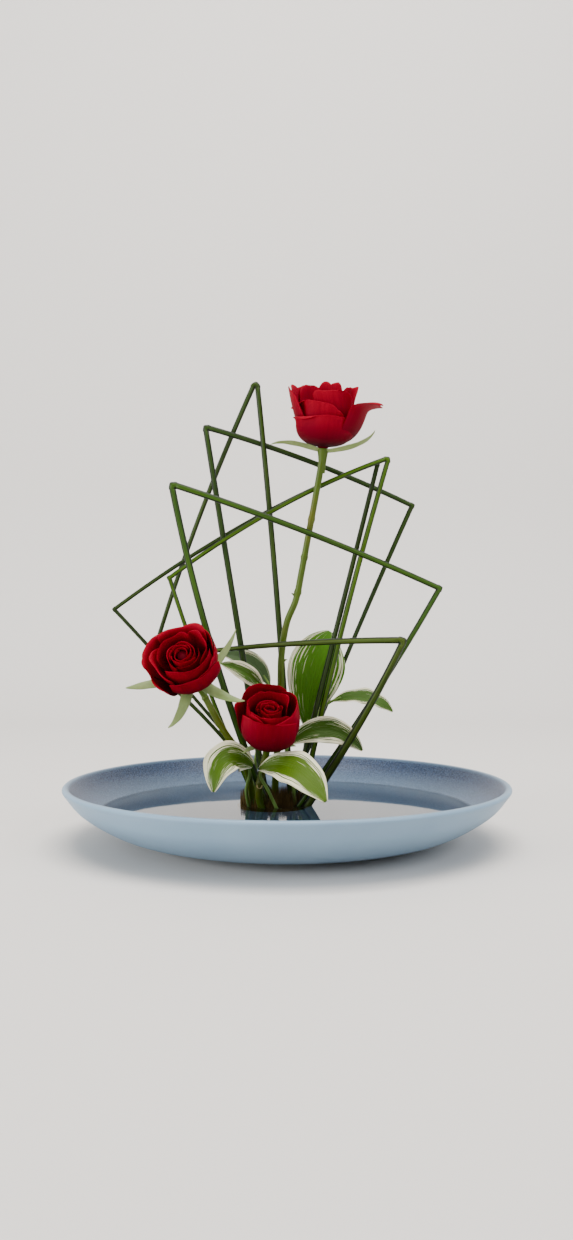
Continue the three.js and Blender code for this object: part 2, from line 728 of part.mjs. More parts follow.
function makePinHolder() {
  const { radius, pinRadius, pinShoulder, pinTop, pitch, sides } = HOLDER;
  const bottom = BOWL.floor + GAP + 0.2;
  const base = turned(
    [
      [0, bottom],
      [radius - 0.8, bottom],
      [radius, bottom + 0.8],
      [radius, HOLDER_TOP - 0.8],
      [radius - 0.8, HOLDER_TOP],
      [0, HOLDER_TOP],
    ],
    sides,
  ).translate([HOLDER.x, HOLDER.y, 0]);
  const stems = stemsAmongPins();
  const [alongX, alongY] = [new THREE.Vector3(1, 0, 0), new THREE.Vector3(0, 1, 0)];
  const pins = [];
  const rows = Math.ceil(radius / pitch);
  for (let row = -rows; row <= rows; row += 1) {
    for (let column = -rows; column <= rows; column += 1) {
      const x = (column + (row % 2 === 0 ? 0 : 0.5)) * pitch;
      const y = row * pitch * Math.sin(Math.PI / 3);
      if (Math.hypot(x, y) > radius - 2.2) continue;
      const [pinX, pinY] = [HOLDER.x + x, HOLDER.y + y];
      const blocked = stems.some(
        (stem) => Math.hypot(stem.point.x - pinX, stem.point.y - pinY) < stem.radius + pinRadius + 0.6,
      );
      if (blocked) continue;
      const heights = [HOLDER_TOP - 1, pinShoulder, pinTop];
      const widths = [pinRadius, pinRadius * 0.85, 0.12];
      const levels = heights.map((z, i) => {
        const centre = new THREE.Vector3(pinX, pinY, z);
        return ring(centre, alongX, widths[i], alongY, widths[i], PIN_SIDES);
      });
      pins.push(loft(levels));
    }
  }
  return fuse([base, ...pins]);
}

// ---------------------------------------------------------------- the arrangement

place("bowl", makeBowl(), MATERIALS.glaze);
place("water", makeWater(), MATERIALS.water);
place("pin_holder", makePinHolder(), MATERIALS.brass);
for (const rush of RUSHES) place(rush.name, makeRush(rush), MATERIALS.rush);
for (const leaf of LEAVES) place(leaf.name, makeLeaf(leaf), MATERIALS.leaf);
for (const rose of ROSES) {
  place(`${rose.name}_stem`, makeRoseStem(rose), MATERIALS.stem);
  const bloom = place(`${rose.name}_bloom`, makeBloom(rose), MATERIALS.petal);
  bloom.position.set(...rose.seat);
  bloom.quaternion.setFromUnitVectors(new THREE.Vector3(0, 0, 1), vector(rose.axis).normalize());
}

export default group;
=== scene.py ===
"""Looks for the ikebana arrangement: folded rushes, three red roses and hosta leaves in a bowl of water.

Each piece is built again, finer, on the same sizes as its solid. The sizes are in millimetres and the
meshes in metres. The bowl stands on z = 0 round the Z axis, and the viewer looks along +Y.
"""

import json
import math
from itertools import accumulate

import bpy
from mathutils import Matrix, Vector

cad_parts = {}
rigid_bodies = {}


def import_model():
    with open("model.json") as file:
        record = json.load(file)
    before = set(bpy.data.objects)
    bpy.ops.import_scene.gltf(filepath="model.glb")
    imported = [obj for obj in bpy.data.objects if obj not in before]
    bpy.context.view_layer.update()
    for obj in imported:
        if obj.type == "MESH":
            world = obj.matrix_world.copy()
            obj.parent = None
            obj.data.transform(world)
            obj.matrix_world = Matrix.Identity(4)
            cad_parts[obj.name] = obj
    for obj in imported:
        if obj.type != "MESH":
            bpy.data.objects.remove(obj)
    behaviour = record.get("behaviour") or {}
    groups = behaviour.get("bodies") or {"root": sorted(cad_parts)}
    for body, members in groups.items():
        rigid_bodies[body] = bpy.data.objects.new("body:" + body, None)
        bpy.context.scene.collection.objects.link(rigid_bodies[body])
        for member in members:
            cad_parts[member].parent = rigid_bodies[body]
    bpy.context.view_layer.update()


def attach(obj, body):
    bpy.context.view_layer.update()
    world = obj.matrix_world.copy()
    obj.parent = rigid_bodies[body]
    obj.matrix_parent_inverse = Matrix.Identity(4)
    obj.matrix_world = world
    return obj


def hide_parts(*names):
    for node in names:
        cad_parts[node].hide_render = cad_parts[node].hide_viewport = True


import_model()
MM = 0.001

# --- sizes, in millimetres ---

BOWL_OUTSIDE = [
    (107, 2.8), (129, 5.3), (153, 12), (173, 22.5), (187.5, 33), (196.5, 44), (200, 49.4),
    (198.8, 51.4), (196.6, 52), (194.8, 51.3), (193.6, 49.6),
]
BOWL_INSIDE = [(193.6, 49.6), (186, 41), (168, 28), (150, 18.5), (128, 11), (100, 8.2), (60, 8)]
BOWL_STEPS = (90, 60)  # along its outside and its inside
BOWL_FOOT = [(60, 2.5), (90, 2.5), (91.6, 0.4), (92.4, 0), (103.4, 0), (104, 0.5), (107, 2.8)]
WATER_LEVEL = 28
WATER_TOP = [(168.8, 28.5), (166.5, 28.1), (160, WATER_LEVEL), (60, WATER_LEVEL)]  # it climbs the glaze
WATER_SINK = 0.4  # the water lies on the glaze: its underside is this far within the wall

# The pin holder: its plate, with the width of its bevel and the radius of the discs that close it, then
# its pins. They start this deep in the plate, and stand this far apart and from its rim, in rows turned
# by some degrees. They lean by up to this many radians.
HOLDER = {
    "x": -13, "y": 30, "radius": 33.2, "bottom": 8.5, "top": 18.3, "edge": 0.8, "face": 27.2,
    "pin": 0.7, "tip": 40.3, "sunk": 0.5, "pitch": 2.6, "border": 2.2, "turn": 10, "lean": 0.02,
}
STEM_FOOT = 19.0

FOLD_STEP = 0.12  # radians between the sections of a fold
FOLD_BULGE = 0.12  # how far a fold's outer side stands out, as a share of the rush's radius
FOLD_PEAK = 0.16  # and how far its ridge does
FOLD_KEENNESS = 12  # a power: the higher it is, the narrower the ridge
FOLD_SPREAD = 0.15  # and how much wider the rush gets there
FOLD_CREASE = 0.25  # how far the sections stay from the crease that they turn round
RUN_STEP = 5  # between the sections of a straight run
# A rush: its radii at its two ends, its corners, and how far the middle of each straight run is bowed.
RUSHES = [{
    "name": "rush_tall", "radii": (3, 1.7), "green": "#30460f",
    "corners": [(4, 37.5, STEM_FOOT), (-27.5, 2.5, 417), (-130, 46.5, 153), (-11.5, 48.5, STEM_FOOT)],
    "bows": [(2.5, -1.5, 0), (-6, 2, 0), (8, -1, 2.5)],
}, {
    "name": "rush_high", "radii": (3.1, 1.85), "green": "#28400c",
    "corners": [(-17, 26.5, STEM_FOOT), (-74, 1.5, 373), (117.5, 38, 305.5), (-2, 50.5, STEM_FOOT)],
    "bows": [(-0.5, 2.5, 0), (0, 1, 5), (-2, -1, 0.5)],
}, {
    "name": "rush_wide", "radii": (3.3, 2.2), "green": "#32520c",
    "corners": [(-15, 14, STEM_FOOT), (-102, -25, 318), (137.5, -5, 226.5), (4, 11, STEM_FOOT)],
    "bows": [(-8, 0, 0), (-1, 0, 4.5), (4.5, 0, 0)],
}, {
    "name": "rush_bright", "radii": (2.7, 1.7), "green": "#406003",
    "corners": [(12, 26, STEM_FOOT), (92.5, 5, 345.5), (-107.5, 10, 236.5), (-24, 27, STEM_FOOT)],
    "bows": [(-3.5, 0, 0), (0, -7, 9), (-4, 0, 0)],
}, {
    "name": "rush_far_left", "radii": (2.6, 1.5), "green": "#283c0e",
    "corners": [(2, 22, STEM_FOOT), (83.5, 12, 343), (-161.5, 32, 208), (-1.5, 45.5, STEM_FOOT)],
    "bows": [(0.5, 0, 0), (0.5, -1, 11.5), (4, 0, 0)],
}, {
    "name": "rush_front", "radii": (3.8, 2.1), "green": "#3e5012",
    "corners": [(12.5, 14.5, STEM_FOOT), (101, -46, 180.5), (-84.5, 28, 167.5)],
    "bows": [(5, 0, 1), (0, -2, 3)],
}]

STALK_RADIUS = 1.4  # of a leaf that gives none of its own
# A leaf: its stalk, its midrib, half its width, the share of its length where it's widest, the way that it
# faces, how far its halves are folded, in radians, and how deep its edge waves. The cream margins of its
# two sides are shares of its half width, and the higher its streaks, the more of them there are.
LEAVES = [{
    "name": "leaf_tall",
    "stalk": [(9, 43, STEM_FOOT), (17, 41, 79), (20, 43, 108)],
    "stalk_radius": 1.6,
    "midrib": [(18.5, 44, 97), (26, 36, 148), (41, 43, 187)],
    "half_width": 27, "belly": 0.56, "facing": (0.1, -1, 0.2), "fold": 0.15, "wave": 1.2,
    "green": "#4a7d06", "margins": (0.10, 0.05), "streaks": 0.5,
}, {
    "name": "leaf_right",
    "stalk": [(15.5, 38, STEM_FOOT), (17, 33, 81), (24, 31, 103), (38, 28.5, 120), (50, 25.5, 126)],
    "midrib": [(43, 27.5, 122.5), (72, 21.5, 125.5), (97, 15, 113.5)],
    "half_width": 11, "belly": 0.5, "facing": (0, -0.6, 0.8), "fold": 0.3, "wave": 1,
    "green": "#3a5c0c", "margins": (0.08, 0.12), "streaks": 0.2,
}, {
    "name": "leaf_mid",
    "stalk": [(8, 18.5, STEM_FOOT), (4.5, 12, 56), (-0.5, 5, 78), (6, 1, 92)],
    "midrib": [(2, 2, 86), (37, -1.5, 98.5), (68, -2.5, 80)],
    "half_width": 12.5, "belly": 0.5, "facing": (0, -1, 0.25), "fold": 0.2, "wave": 1,
    "green": "#375804", "margins": (0.12, 0.3), "streaks": 0.6,
}, {
    "name": "leaf_front",
    "stalk": [(-6, 4, STEM_FOOT), (-17, -8, 45), (-24, -14, 60), (-18, -20, 68)],
    "midrib": [(-25, -16, 65), (5, -38, 68), (33, -60, 43)],
    "half_width": 18.5, "belly": 0.55, "facing": (0.1, -0.8, 0.6), "fold": 0.2, "wave": 1.4,
    "green": "#4b6902", "margins": (0.2, 0.26), "streaks": 0.3,
}, {
    "name": "leaf_left",
    "stalk": [(-33, 12, STEM_FOOT), (-37, 1, 43), (-33.5, -10, 61), (-36, -15, 72)],
    "midrib": [(-30.5, -13.5, 68), (-54, -26, 74), (-64, -38, 48)],
    "half_width": 18, "belly": 0.5, "facing": (-0.3, -0.85, 0.5), "fold": 0.2, "wave": 1.2,
    "green": "#486a02", "margins": (0.26, 0.3), "streaks": 0.7,
}, {
    "name": "leaf_back_upper",
    "stalk": [(-33.5, 48.5, STEM_FOOT), (-28, 53, 64), (-16, 50, 103), (-15, 45, 133), (-22, 43, 146)],
    "midrib": [(-17, 44, 137), (-34, 40, 158), (-61, 35, 166)],
    "half_width": 10, "belly": 0.5, "facing": (-0.2, -1, 0.3), "fold": 0.2, "wave": 1,
    "green": "#566f44", "margins": (0.12, 0.12), "streaks": 0.2,
}, {
    "name": "leaf_back_lower",
    "stalk": [(-30, 32, STEM_FOOT), (-29.5, 31, 67), (-22, 22, 105), (-22, 12, 130), (-28, 9, 141)],
    "midrib": [(-22, 12, 134), (-38, 5, 150), (-60, 0, 158.5)],
    "half_width": 8.5, "belly": 0.5, "facing": (-0.3, -0.9, 0.4), "fold": 0.25, "wave": 1,
    "green": "#41650c", "margins": (0.25, 0.3), "streaks": 0.7,
}]

# A rose: the seat of its bloom and the way that this faces, its heart and petals, and its stem with sepals,
# nodes and thorns. A node has its share of the stem, and a thorn that, its azimuth and its rise in degrees.
# A petal: azimuth, half its width, radii of belly, shoulder and lip, height, roll of the lip, degrees that
# it leans round, and the share of its height by which one end of the lip is lower and the other higher.
ROSES = [{
    "name": "rose_top",
    "seat": (32.3, -8, 352),
    "axis": (0.04, -0.1, 1),
    "heart": {"petals": 6, "radius": 12, "height": 46, "turn": 20},
    "petals": [
        (-52, 19, 24, 24, 22, 52, 2, -24, 0),
        (70, 13, 22, 20, 20, 62.5, 1, 0, 0),
        (118, 14, 23, 22, 23, 59, 1, 0, 0),
        (-125, 30, 26, 26, 24, 42, 3, 8, 0.2),
        (142, 18, 24, 25, 29, 59, 2, 0, 0),
        (42, 12, 25, 30, 32, 60, 2, 0, 0),
        (168, 27, 25, 25, 36, 52.5, -2, 0, 0),
        (75, 30, 31, 31, 33, 38, 3, 0, 0),
        (14, 18, 29, 31, 38, 41, 2, 0, 0),
        (-22, 21, 34, 34, 42, 46, 12, 0, 0),
        (-94, 34, 26, 31, 28, 29, 3, 4, 0.12),
    ],
    "stem": [
        (-12.5, 41, STEM_FOOT), (-6, 20, 133), (-5, 14, 166), (0, 8, 196), (8, 5, 216),
        (13.5, 1, 243), (18.5, -2, 270), (24.5, -4, 302), (30, -7, 333), (32, -8, 346),
    ],
    "stem_radius": 3,
    "hip_length": 22,
    "sepal_half": 2.7,
    "sepal_facing": (0, -0.8, -0.8),
    "stem_nodes": (0.475, 0.605, 0.733),
    "thorns": ((0.46, 160, 30), (0.2, 10, 20)),
    "sepals": [
        [(4, -20, 355.5), (-14.5, -22, 353.5)],
        [(63, -22, 354), (78, -22, 366)],
        [(34, 14, 350), (35, 26, 341)],
    ],
}, {
    "name": "rose_left",
    "seat": (-86, -27, 150.5),
    "axis": (-0.13, -0.82, 0.56),
    "heart": {"petals": 8, "radius": 14, "height": 36, "turn": 70},
    "petals": [
        (130, 20, 21, 19, 19, 38, 1, 0, 0),
        (20, 21, 23, 21, 21, 38, 1, 0, 0),
        (-160, 21, 25, 23, 25, 35, 2, 0, 0),
        (85, 24, 27, 26, 27, 35, 4, 0, 0),
        (-75, 26, 28, 25, 19, 39, 3, 10, 0),
        (-15, 23, 30, 30, 27, 34, 1.5, 0, 0),
        (145, 25, 30, 30, 31, 32, 4, 0, 0),
        (38, 25, 29, 28, 27, 34, 2.5, 0, 0),
        (205, 22, 32, 31, 32, 28, 2.5, 0, 0),
        (-65, 26, 33, 32, 27, 32, 2, 0, 0),
    ],
    "stem": [
        (-29, 16, STEM_FOOT), (-33, 6, 45), (-37.5, -3, 67), (-46, -8, 83), (-55.5, -11, 97),
        (-66.5, -13, 116), (-75, -13, 132), (-82, -15.5, 143), (-85, -21, 147),
    ],
    "stem_radius": 3.1,
    "hip_length": 7,
    "sepal_half": 5.2,
    "sepal_facing": (0.13, 0.82, -0.56),
    "stem_nodes": (0.34, 0.72),
    "thorns": ((0.5, 200, 20),),
    "sepals": [
        [(-62.5, -15, 161.5), (-46, -5, 189.5)],
        [(-58.5, -38, 133.5), (-36.5, -45, 128)],
        [(-90.5, -46, 121.5), (-102, -54, 105.5)],
        [(-121, -25, 141.5), (-142.5, -25, 138)],
    ],
}, {
    "name": "rose_low",
    "seat": (-17.5, -12, 88),
    "axis": (0.07, -0.55, 0.83),
    "heart": {"petals": 7, "radius": 12, "height": 42, "turn": 130},
    "petals": [
        (60, 20, 18, 16, 15, 48, 1, 0, 0),
        (150, 20, 20, 18, 17, 48, 1, 0, 0),
        (-90, 23, 22, 20, 18, 44, 1, 0, 0),
        (205, 20, 24, 22, 19, 43, 1, 0, 0),
        (34, 25, 26, 24, 22, 46, 1, 0, 0),
        (176, 9, 27, 26, 29, 42, 1, 0, 0),
        (100, 28, 28, 26, 24, 49, 1, 0, 0),
        (-20, 28, 30, 28, 22, 44, 1, 0, 0),
        (-98, 31, 31, 28, 22, 42, 2, 0, 0),
    ],
    "stem": [
        (-18, 5, STEM_FOOT), (-23.5, 2.5, 29), (-25.5, -3, 42), (-23, -6, 60), (-19, -8, 77),
        (-17.5, -11, 85.5),
    ],
    "stem_radius": 3.3,
    "hip_length": 7,
    "sepal_half": 4,
    "sepal_facing": (-0.07, 0.55, -0.83),
    "stem_nodes": (0.5,),
    "thorns": (),
    "scar": (-24.7, -6.9, 48.6),
    "sepals": [
        [(-30, -18, 85), (-39, -22, 80)],
        [(-3, -16, 87), (8, -20, 86)],
    ],
}]
GOLDEN_ANGLE = 137.5
# The heart's petals from the innermost out: half a width, the radii of belly, shoulder and lip as shares
# of the heart's, and the roll. The outermost has this share of its height, and the middle ones have all.
HEART_HALVES = (9, 17)
HEART_RADII = ((0.55, 1.1), (0.4, 0.95), (0.25, 0.9))
HEART_ROLLS = (0.5, 1.5)
HEART_LOWEST = 0.93
CORE_FOOT = [(0, 0.4), (4.4, 0.4), (6.2, 2.5)]  # the solid core that the petals grow from
CORE_WAIST = 0.4  # up to this share of the heart's height it's as wide as its foot
CORE_TOP = ((0.3, 0.86), (0, 0.84))  # and this is its top, as shares of the heart's radius and height
CORE_PAINTED_SHADE = 0.3  # it has the colour that a petal has this far up, dark with the painted shade deep in the bloom

PETAL_FOOT = 3.4  # how far out a petal's foot is
PETAL_BASE = 1.6  # how high the outermost petal's foot is, and how much higher each further in is
PETAL_STEP = 0.75
PETAL_BELLY = (1.1, 0.04)  # its belly's stop, as shares of that radius and of the height
PETAL_SHOULDER = 0.68  # and how far up its shoulder's is
PETAL_SPIRAL = 1.6  # how much further out than its middle one side of a petal is
PETAL_NARROW = 0.45  # how wide its foot is, and how far up it reaches its full width, as shares
PETAL_FULL = 0.6
PETAL_CREASE = 0.12  # how deep its creases are
WAVE_START = 0.4  # how far up its waves start
ROLL_START = 0.72  # how far up its lip starts to roll out
ROLL_DROP = 0.6  # how far it drops as it does, as a share
CORNER_ROLL = 0.9  # how much more the lip's corners roll
LIP_ROUND = 0.16  # how much lower they are, as a share of the height
LIP_RAG = 0.024  # and how deep the lip's rags and nicks are
LIP_NICK = 0.028
PETAL_BLADE = 0.5  # how thick it is
HEART_MESH = (26, 22, 0.45)  # columns, rows and ruffle of a petal
PETAL_MESH = (44, 30, 1.3)

LEAF_BLADE = 0.8  # how thick a leaf is
LEAF_MESH = (28, 60)  # columns and rows of a leaf's blade and of a sepal
SEPAL_MESH = (12, 40)
BLADE_RIM = 0.4  # how thick a blade is at its rim, as a share
LEAF_ENDS = (0.03, 0.985)  # the part of a full outline that a blade has, so that its ends aren't points
LEAF_FULLNESS = 0.8  # a power: the lower it is, the fuller the outline
LEAF_WAVES = 3  # along each of its edges
WAVE_SHIFT = 1.5  # of one edge's waves up the leaf and of the other's down, in radians
STALK_TAPER = (1.15, 1, 0.8)  # from its foot up, as shares of its radius

STEM_TAPER = (1.08, 1, 1, 0.95, 1)
NODE_SWELL = 0.6  # how far a stem's node stands out
NODE_LENGTH = 0.007  # and how long it is, as a share of the stem
HIP_SHARES = (1, 0.62, 0.28, 0)  # of the hip's length, down from the seat
HIP_NECK = 0.9  # of the stem's radius
HIP_RADII = (3.4, 4.3, 5.15)
SEPAL_DROP = 2.5  # how far under the seat the sepals start
SCAR_CORK = [(0, -1), (2.4, -1), (2.7, 0), (2.3, 0.6), (1.6, 0.5), (1.2, 0.1), (0, 0.1)]
SCAR_PITH = [(0, -0.8), (1.3, -0.8), (1.3, 0.2), (0.8, 0.45), (0, 0.5)]
THORN = [(0, -0.5), (1.7, -0.5), (1.3, 0.9), (0.6, 2.6), (0.25, 3.7), (0, 3.9)]
THORN_ROOT = 0.6  # how deep in the stem it starts

# --- finishes ---


def linear(colour):
    """An sRGB hex colour as the linear RGBA that sockets take."""
    values = []
    for place in (1, 3, 5):
        value = int(colour[place:place + 2], 16) / 255
        values.append(value / 12.92 if value <= 0.04045 else ((value + 0.055) / 1.055) ** 2.4)
    return (*values, 1.0)


def tinted(colour, shares):
    """A linear colour with its red, green and blue multiplied by the shares."""
    return (*(part * share for part, share in zip(colour, shares)), 1.0)


def plug(tree, node, inputs):
    """Fills a node's inputs. Each takes a value, a hex colour, or the socket or node that it is linked to."""
    for place, value in inputs.items():
        if isinstance(value, bpy.types.Node):
            value = next(output for output in value.outputs if output.enabled)
        if isinstance(value, bpy.types.NodeSocket):
            tree.links.new(value, node.inputs[place])
        else:
            is_colour = isinstance(value, str) and value.startswith("#")
            node.inputs[place].default_value = linear(value) if is_colour else value


def add(tree, kind, inputs=None, **settings):
    """A node with its settings and its inputs."""
    node = tree.nodes.new(kind)
    for name, value in settings.items():
        setattr(node, name, value)
    plug(tree, node, inputs or {})
    return node


def finish_of(name, constants):
    """A new material with its tree and surface shader. Constants are set on the shader's own sockets."""
    material = bpy.data.materials.new(name)
    material.use_nodes = True
    tree = material.node_tree
    tree.nodes.clear()
    shader = add(tree, "ShaderNodeBsdfPrincipled", constants)
    add(tree, "ShaderNodeOutputMaterial", {"Surface": shader})
    return material, tree, shader


def here_in(tree):
    """The place on the object, in metres."""
    return add(tree, "ShaderNodeTexCoord").outputs["Object"]


def spot_in(tree):
    """The spot attribute, and its parts: across and up a blade, or round a stem and along it in mm."""
    spot = add(tree, "ShaderNodeAttribute", attribute_name="spot").outputs["Vector"]
    return spot, add(tree, "ShaderNodeSeparateXYZ", {0: spot}).outputs


def patches_of(tree, place, often, detail, roughness=0.5):
    """Soft patches that come this often in one unit of the place, each way."""
    scaled = add(tree, "ShaderNodeVectorMath", {0: place, 1: often}, operation="MULTIPLY")
    return add(tree, "ShaderNodeTexNoise", {
        "Vector": scaled, "Scale": 1.0, "Detail": detail, "Roughness": roughness,
    })


def blended(tree, pattern, levels, under, over, least=0.0):
    """One colour over another: the share of the upper one grows from its least to 1 between two levels."""
    share = add(tree, "ShaderNodeMapRange", {
        "Value": pattern, "From Min": levels[0], "From Max": levels[1], "To Min": least,
    })
    return add(tree, "ShaderNodeMix", {0: share, 6: under, 7: over}, data_type="RGBA")


def surfaced(tree, shader, colour, height, strength, depth):
    """Gives the shader its colour, and the relief of a pattern at this strength and depth in metres."""
    bump = add(tree, "ShaderNodeBump", {"Height": height, "Strength": strength, "Distance": depth})
    plug(tree, shader, {"Base Color": colour, "Normal": bump})


def painted_shade_near_water(tree, here, colour):
    """The colour as it is, but darker near the water: painted shade, for the shade that the stems cast on
    each other there.
    """
    height = add(tree, "ShaderNodeSeparateXYZ", {0: here}).outputs["Z"]
    share = add(tree, "ShaderNodeMapRange", {
        "Value": height, "From Min": 0.03, "From Max": 0.08, "To Min": 0.7,
    })
    return add(tree, "ShaderNodeVectorMath", {0: colour, "Scale": share}, operation="SCALE")


def glazed_stoneware():
    """Stoneware with a satin blue-grey glaze: paler where it is thin, darker and crystalled inside."""
    material, tree, shader = finish_of("glazed_stoneware", {
        "Roughness": 0.4, "Specular IOR Level": 0.25, "Coat Weight": 0.05, "Coat Roughness": 0.15,
    })
    spot, parts = spot_in(tree)
    here = here_in(tree)
    # crystals a little over 1 mm each way, clouds about 45 mm wide, and pale grains of about 1.5 mm
    crystals = patches_of(tree, spot, (150, 150, 0.7), 3, 0.6)
    clouds = patches_of(tree, here, (22, 22, 22), 4)
    grains = patches_of(tree, here, (700, 700, 700), 2)
    outer = blended(tree, clouds, (0, 1), "#6f8ba3", "#809cb2")
    wall = blended(tree, crystals, (0.42, 0.7), "#0f1b35", "#2e4465")
    floor = blended(tree, crystals, (0.42, 0.7), "#4a6077", "#5c7288")
    # the way along the profile reaches the top of the rim at RIM_REACH, and goes on down the inside
    inner = blended(tree, parts["Z"], (RIM_REACH + 14, RIM_REACH + 46), wall, floor)
    both = blended(tree, parts["Z"], (RIM_REACH - 2, RIM_REACH + 5), outer, inner)
    speckled = blended(tree, grains, (0.35, 0.7), "#8698a8", both, least=0.85)
    surfaced(tree, shader, speckled, clouds, 0.12, 0.0006)
    return material


def still_water():
    """Still tap water: clear, almost a mirror at a low angle, with the glaze showing through it."""
    material, tree, shader = finish_of("still_water", {
        "Roughness": 0.03, "IOR": 1.333, "Transmission Weight": 1.0,
    })
    # ripples about 33 mm apart, which only just show
    ripples = patches_of(tree, here_in(tree), (30, 30, 30), 1)
    surfaced(tree, shader, blended(tree, ripples, (0, 1), "#a9b5be", "#b6c0c8"), ripples, 0.08, 0.0004)
    return material


def tarnished_brass():
    """Cast and drawn brass that has stood in water: dull brown-gold, with darker tarnish in patches."""
    material, tree, shader = finish_of("tarnished_brass", {"Metallic": 1.0})
    # patches about 4 mm wide
    patches = patches_of(tree, here_in(tree), (260, 260, 260), 3)
    tone = blended(tree, patches, (0, 1), "#16110a", "#705b34")
    rough = add(tree, "ShaderNodeMapRange", {"Value": patches, "To Min": 0.32, "To Max": 0.6})
    plug(tree, shader, {"Base Color": tone, "Roughness": rough})
    return material


def fresh_rush(name, green):
    """Fresh rush: a waxy green skin with fine ribs along it, with painted shade that makes it nearly black
    along its two sides and darker near the water.
    """
    material, tree, shader = finish_of(name, {"Roughness": 0.42, "Specular IOR Level": 0.18})
    spot, parts = spot_in(tree)
    here = here_in(tree)
    # a dozen or so ribs round the stem, 60 mm or more long, and yellow patches about 45 mm long
    ribs = patches_of(tree, spot, (5, 5, 0.016), 3)
    yellowing = patches_of(tree, here, (22, 22, 22), 2)
    body = linear(green)
    skin = blended(tree, yellowing, (0.4, 0.75), body, tinted(body, (1.35, 1.2, 0.6)))
    ribbed = blended(tree, ribs, (0.35, 0.6), tinted(body, (0.4, 0.4, 0.4)), skin)
    # painted shade: the rush is darkened to nearly black towards its two sides, across its thick way
    across = add(tree, "ShaderNodeMath", {0: parts["X"]}, operation="ABSOLUTE")
    tone = blended(tree, across, (0.45, 0.8), ribbed, "#0c1408")
    # painted shade: the rush's tone is darkened near the water
    surfaced(tree, shader, painted_shade_near_water(tree, here, tone), ribs, 0.35, 0.0004)
    return material


def smooth_skin(name, green, flush):
    """The smooth skin of rose stems, sepals and leaf stalks, flushed where the sun was on it, and darker near
    the water by painted shade.
    """
    material, tree, shader = finish_of(name, {
        "Roughness": 0.42, "Specular IOR Level": 0.25, "Subsurface Weight": 0.05, "Subsurface Scale": 0.001,
    })
    here = here_in(tree)
    # grain about 4 mm wide and 25 mm long, and a flush in patches of about 33 mm
    grain = patches_of(tree, here, (260, 260, 40), 3)
    flushed = patches_of(tree, here, (30, 30, 30), 2)
    body = linear(green)
    skin = blended(tree, grain, (0, 1), tinted(body, (0.6, 0.6, 0.6)), body)
    tone = blended(tree, flushed, (0.5, 0.75), skin, flush)
    # painted shade: the skin's tone is darkened near the water
    surfaced(tree, shader, painted_shade_near_water(tree, here, tone), grain, 0.25, 0.0003)
    return material


def hosta_leaf(name, green, margins, streaks):
    """Variegated hosta: a satin green blade, ribbed along its veins, with cream margins and streaks."""
    material, tree, shader = finish_of(name, {
        "Roughness": 0.48, "Specular IOR Level": 0.2, "Subsurface Weight": 0.05, "Subsurface Scale": 0.001,
    })
    spot, parts = spot_in(tree)
    # the veins follow lines of equal share across the blade, and so do stripes 1 to 2 mm wide and
    # fibres of about 0.5 mm
    stripes = patches_of(tree, spot, (16, 2.4, 1), 3)
    fibres = patches_of(tree, spot, (40, 1.2, 1), 2)
    across = add(tree, "ShaderNodeMath", {0: parts["X"]}, operation="ABSOLUTE")
    reach = across
    for pattern, stray in ((stripes, 0.2), (fibres, 0.22)):
        wander = add(tree, "ShaderNodeMapRange", {
            "Value": pattern, "From Min": 0.35, "From Max": 0.65, "To Min": -stray, "To Max": stray,
        })
        reach = add(tree, "ShaderNodeMath", {0: reach, 1: wander}, operation="ADD")
    start = add(tree, "ShaderNodeMapRange", {
        "Value": parts["X"], "From Min": -1.0, "To Min": 1 - margins[0], "To Max": 1 - margins[1],
    })
    past = add(tree, "ShaderNodeMath", {0: reach, 1: start}, operation="SUBTRACT")
    rim = add(tree, "ShaderNodeMapRange", {"Value": past, "From Min": -0.03, "From Max": 0.03})
    streak = add(tree, "ShaderNodeMapRange", {
        "Value": stripes, "From Min": 0.70 - 0.18 * streaks, "From Max": 0.73 - 0.18 * streaks,
    })
    inner = add(tree, "ShaderNodeMapRange", {"Value": across, "From Min": 0.15, "From Max": 0.5})
    streak = add(tree, "ShaderNodeMath", {0: streak, 1: inner}, operation="MULTIPLY")
    cream_here = add(tree, "ShaderNodeMath", {0: rim, 1: streak}, operation="MAXIMUM")
    body = linear(green)
    skin = blended(tree, fibres, (0, 1), tinted(body, (0.62, 0.62, 0.62)), body)
    cream = blended(tree, fibres, (0, 1), "#d6d29a", "#f4f0dc")
    # eight ribs a side, as deep as a vein
    ribs = add(tree, "ShaderNodeMath", {0: parts["X"], 1: 50.0}, operation="MULTIPLY")
    ribs = add(tree, "ShaderNodeMath", {0: ribs}, operation="SINE")
    surfaced(tree, shader, blended(tree, cream_here, (0, 1), skin, cream), ribs, 0.3, 0.0005)
    return material


def rose_petal():
    """Red rose petal: a velvet of tiny cells, with a painted highlight that makes it brightest at the lip and
    painted shade that makes it nearly black towards its foot, deep in the bloom.
    """
    material, tree, shader = finish_of("rose_petal", {"Roughness": 0.65, "Specular IOR Level": 0.04})
    spot, parts = spot_in(tree)
    # veins about 2 mm wide, coarser than real ones so that they show
    veins = patches_of(tree, spot, (14, 2, 1), 3)
    # painted shade towards the petal's foot, deep in the bloom, and a painted highlight towards its lip
    tone = blended(tree, parts["Y"], (0.1, 1), "#2a000b", "#980020")
    veined = blended(tree, veins, (0, 1), "#300008", tone, least=0.55)
    surfaced(tree, shader, veined, veins, 0.2, 0.0004)
    return material


# --- geometry node trees ---


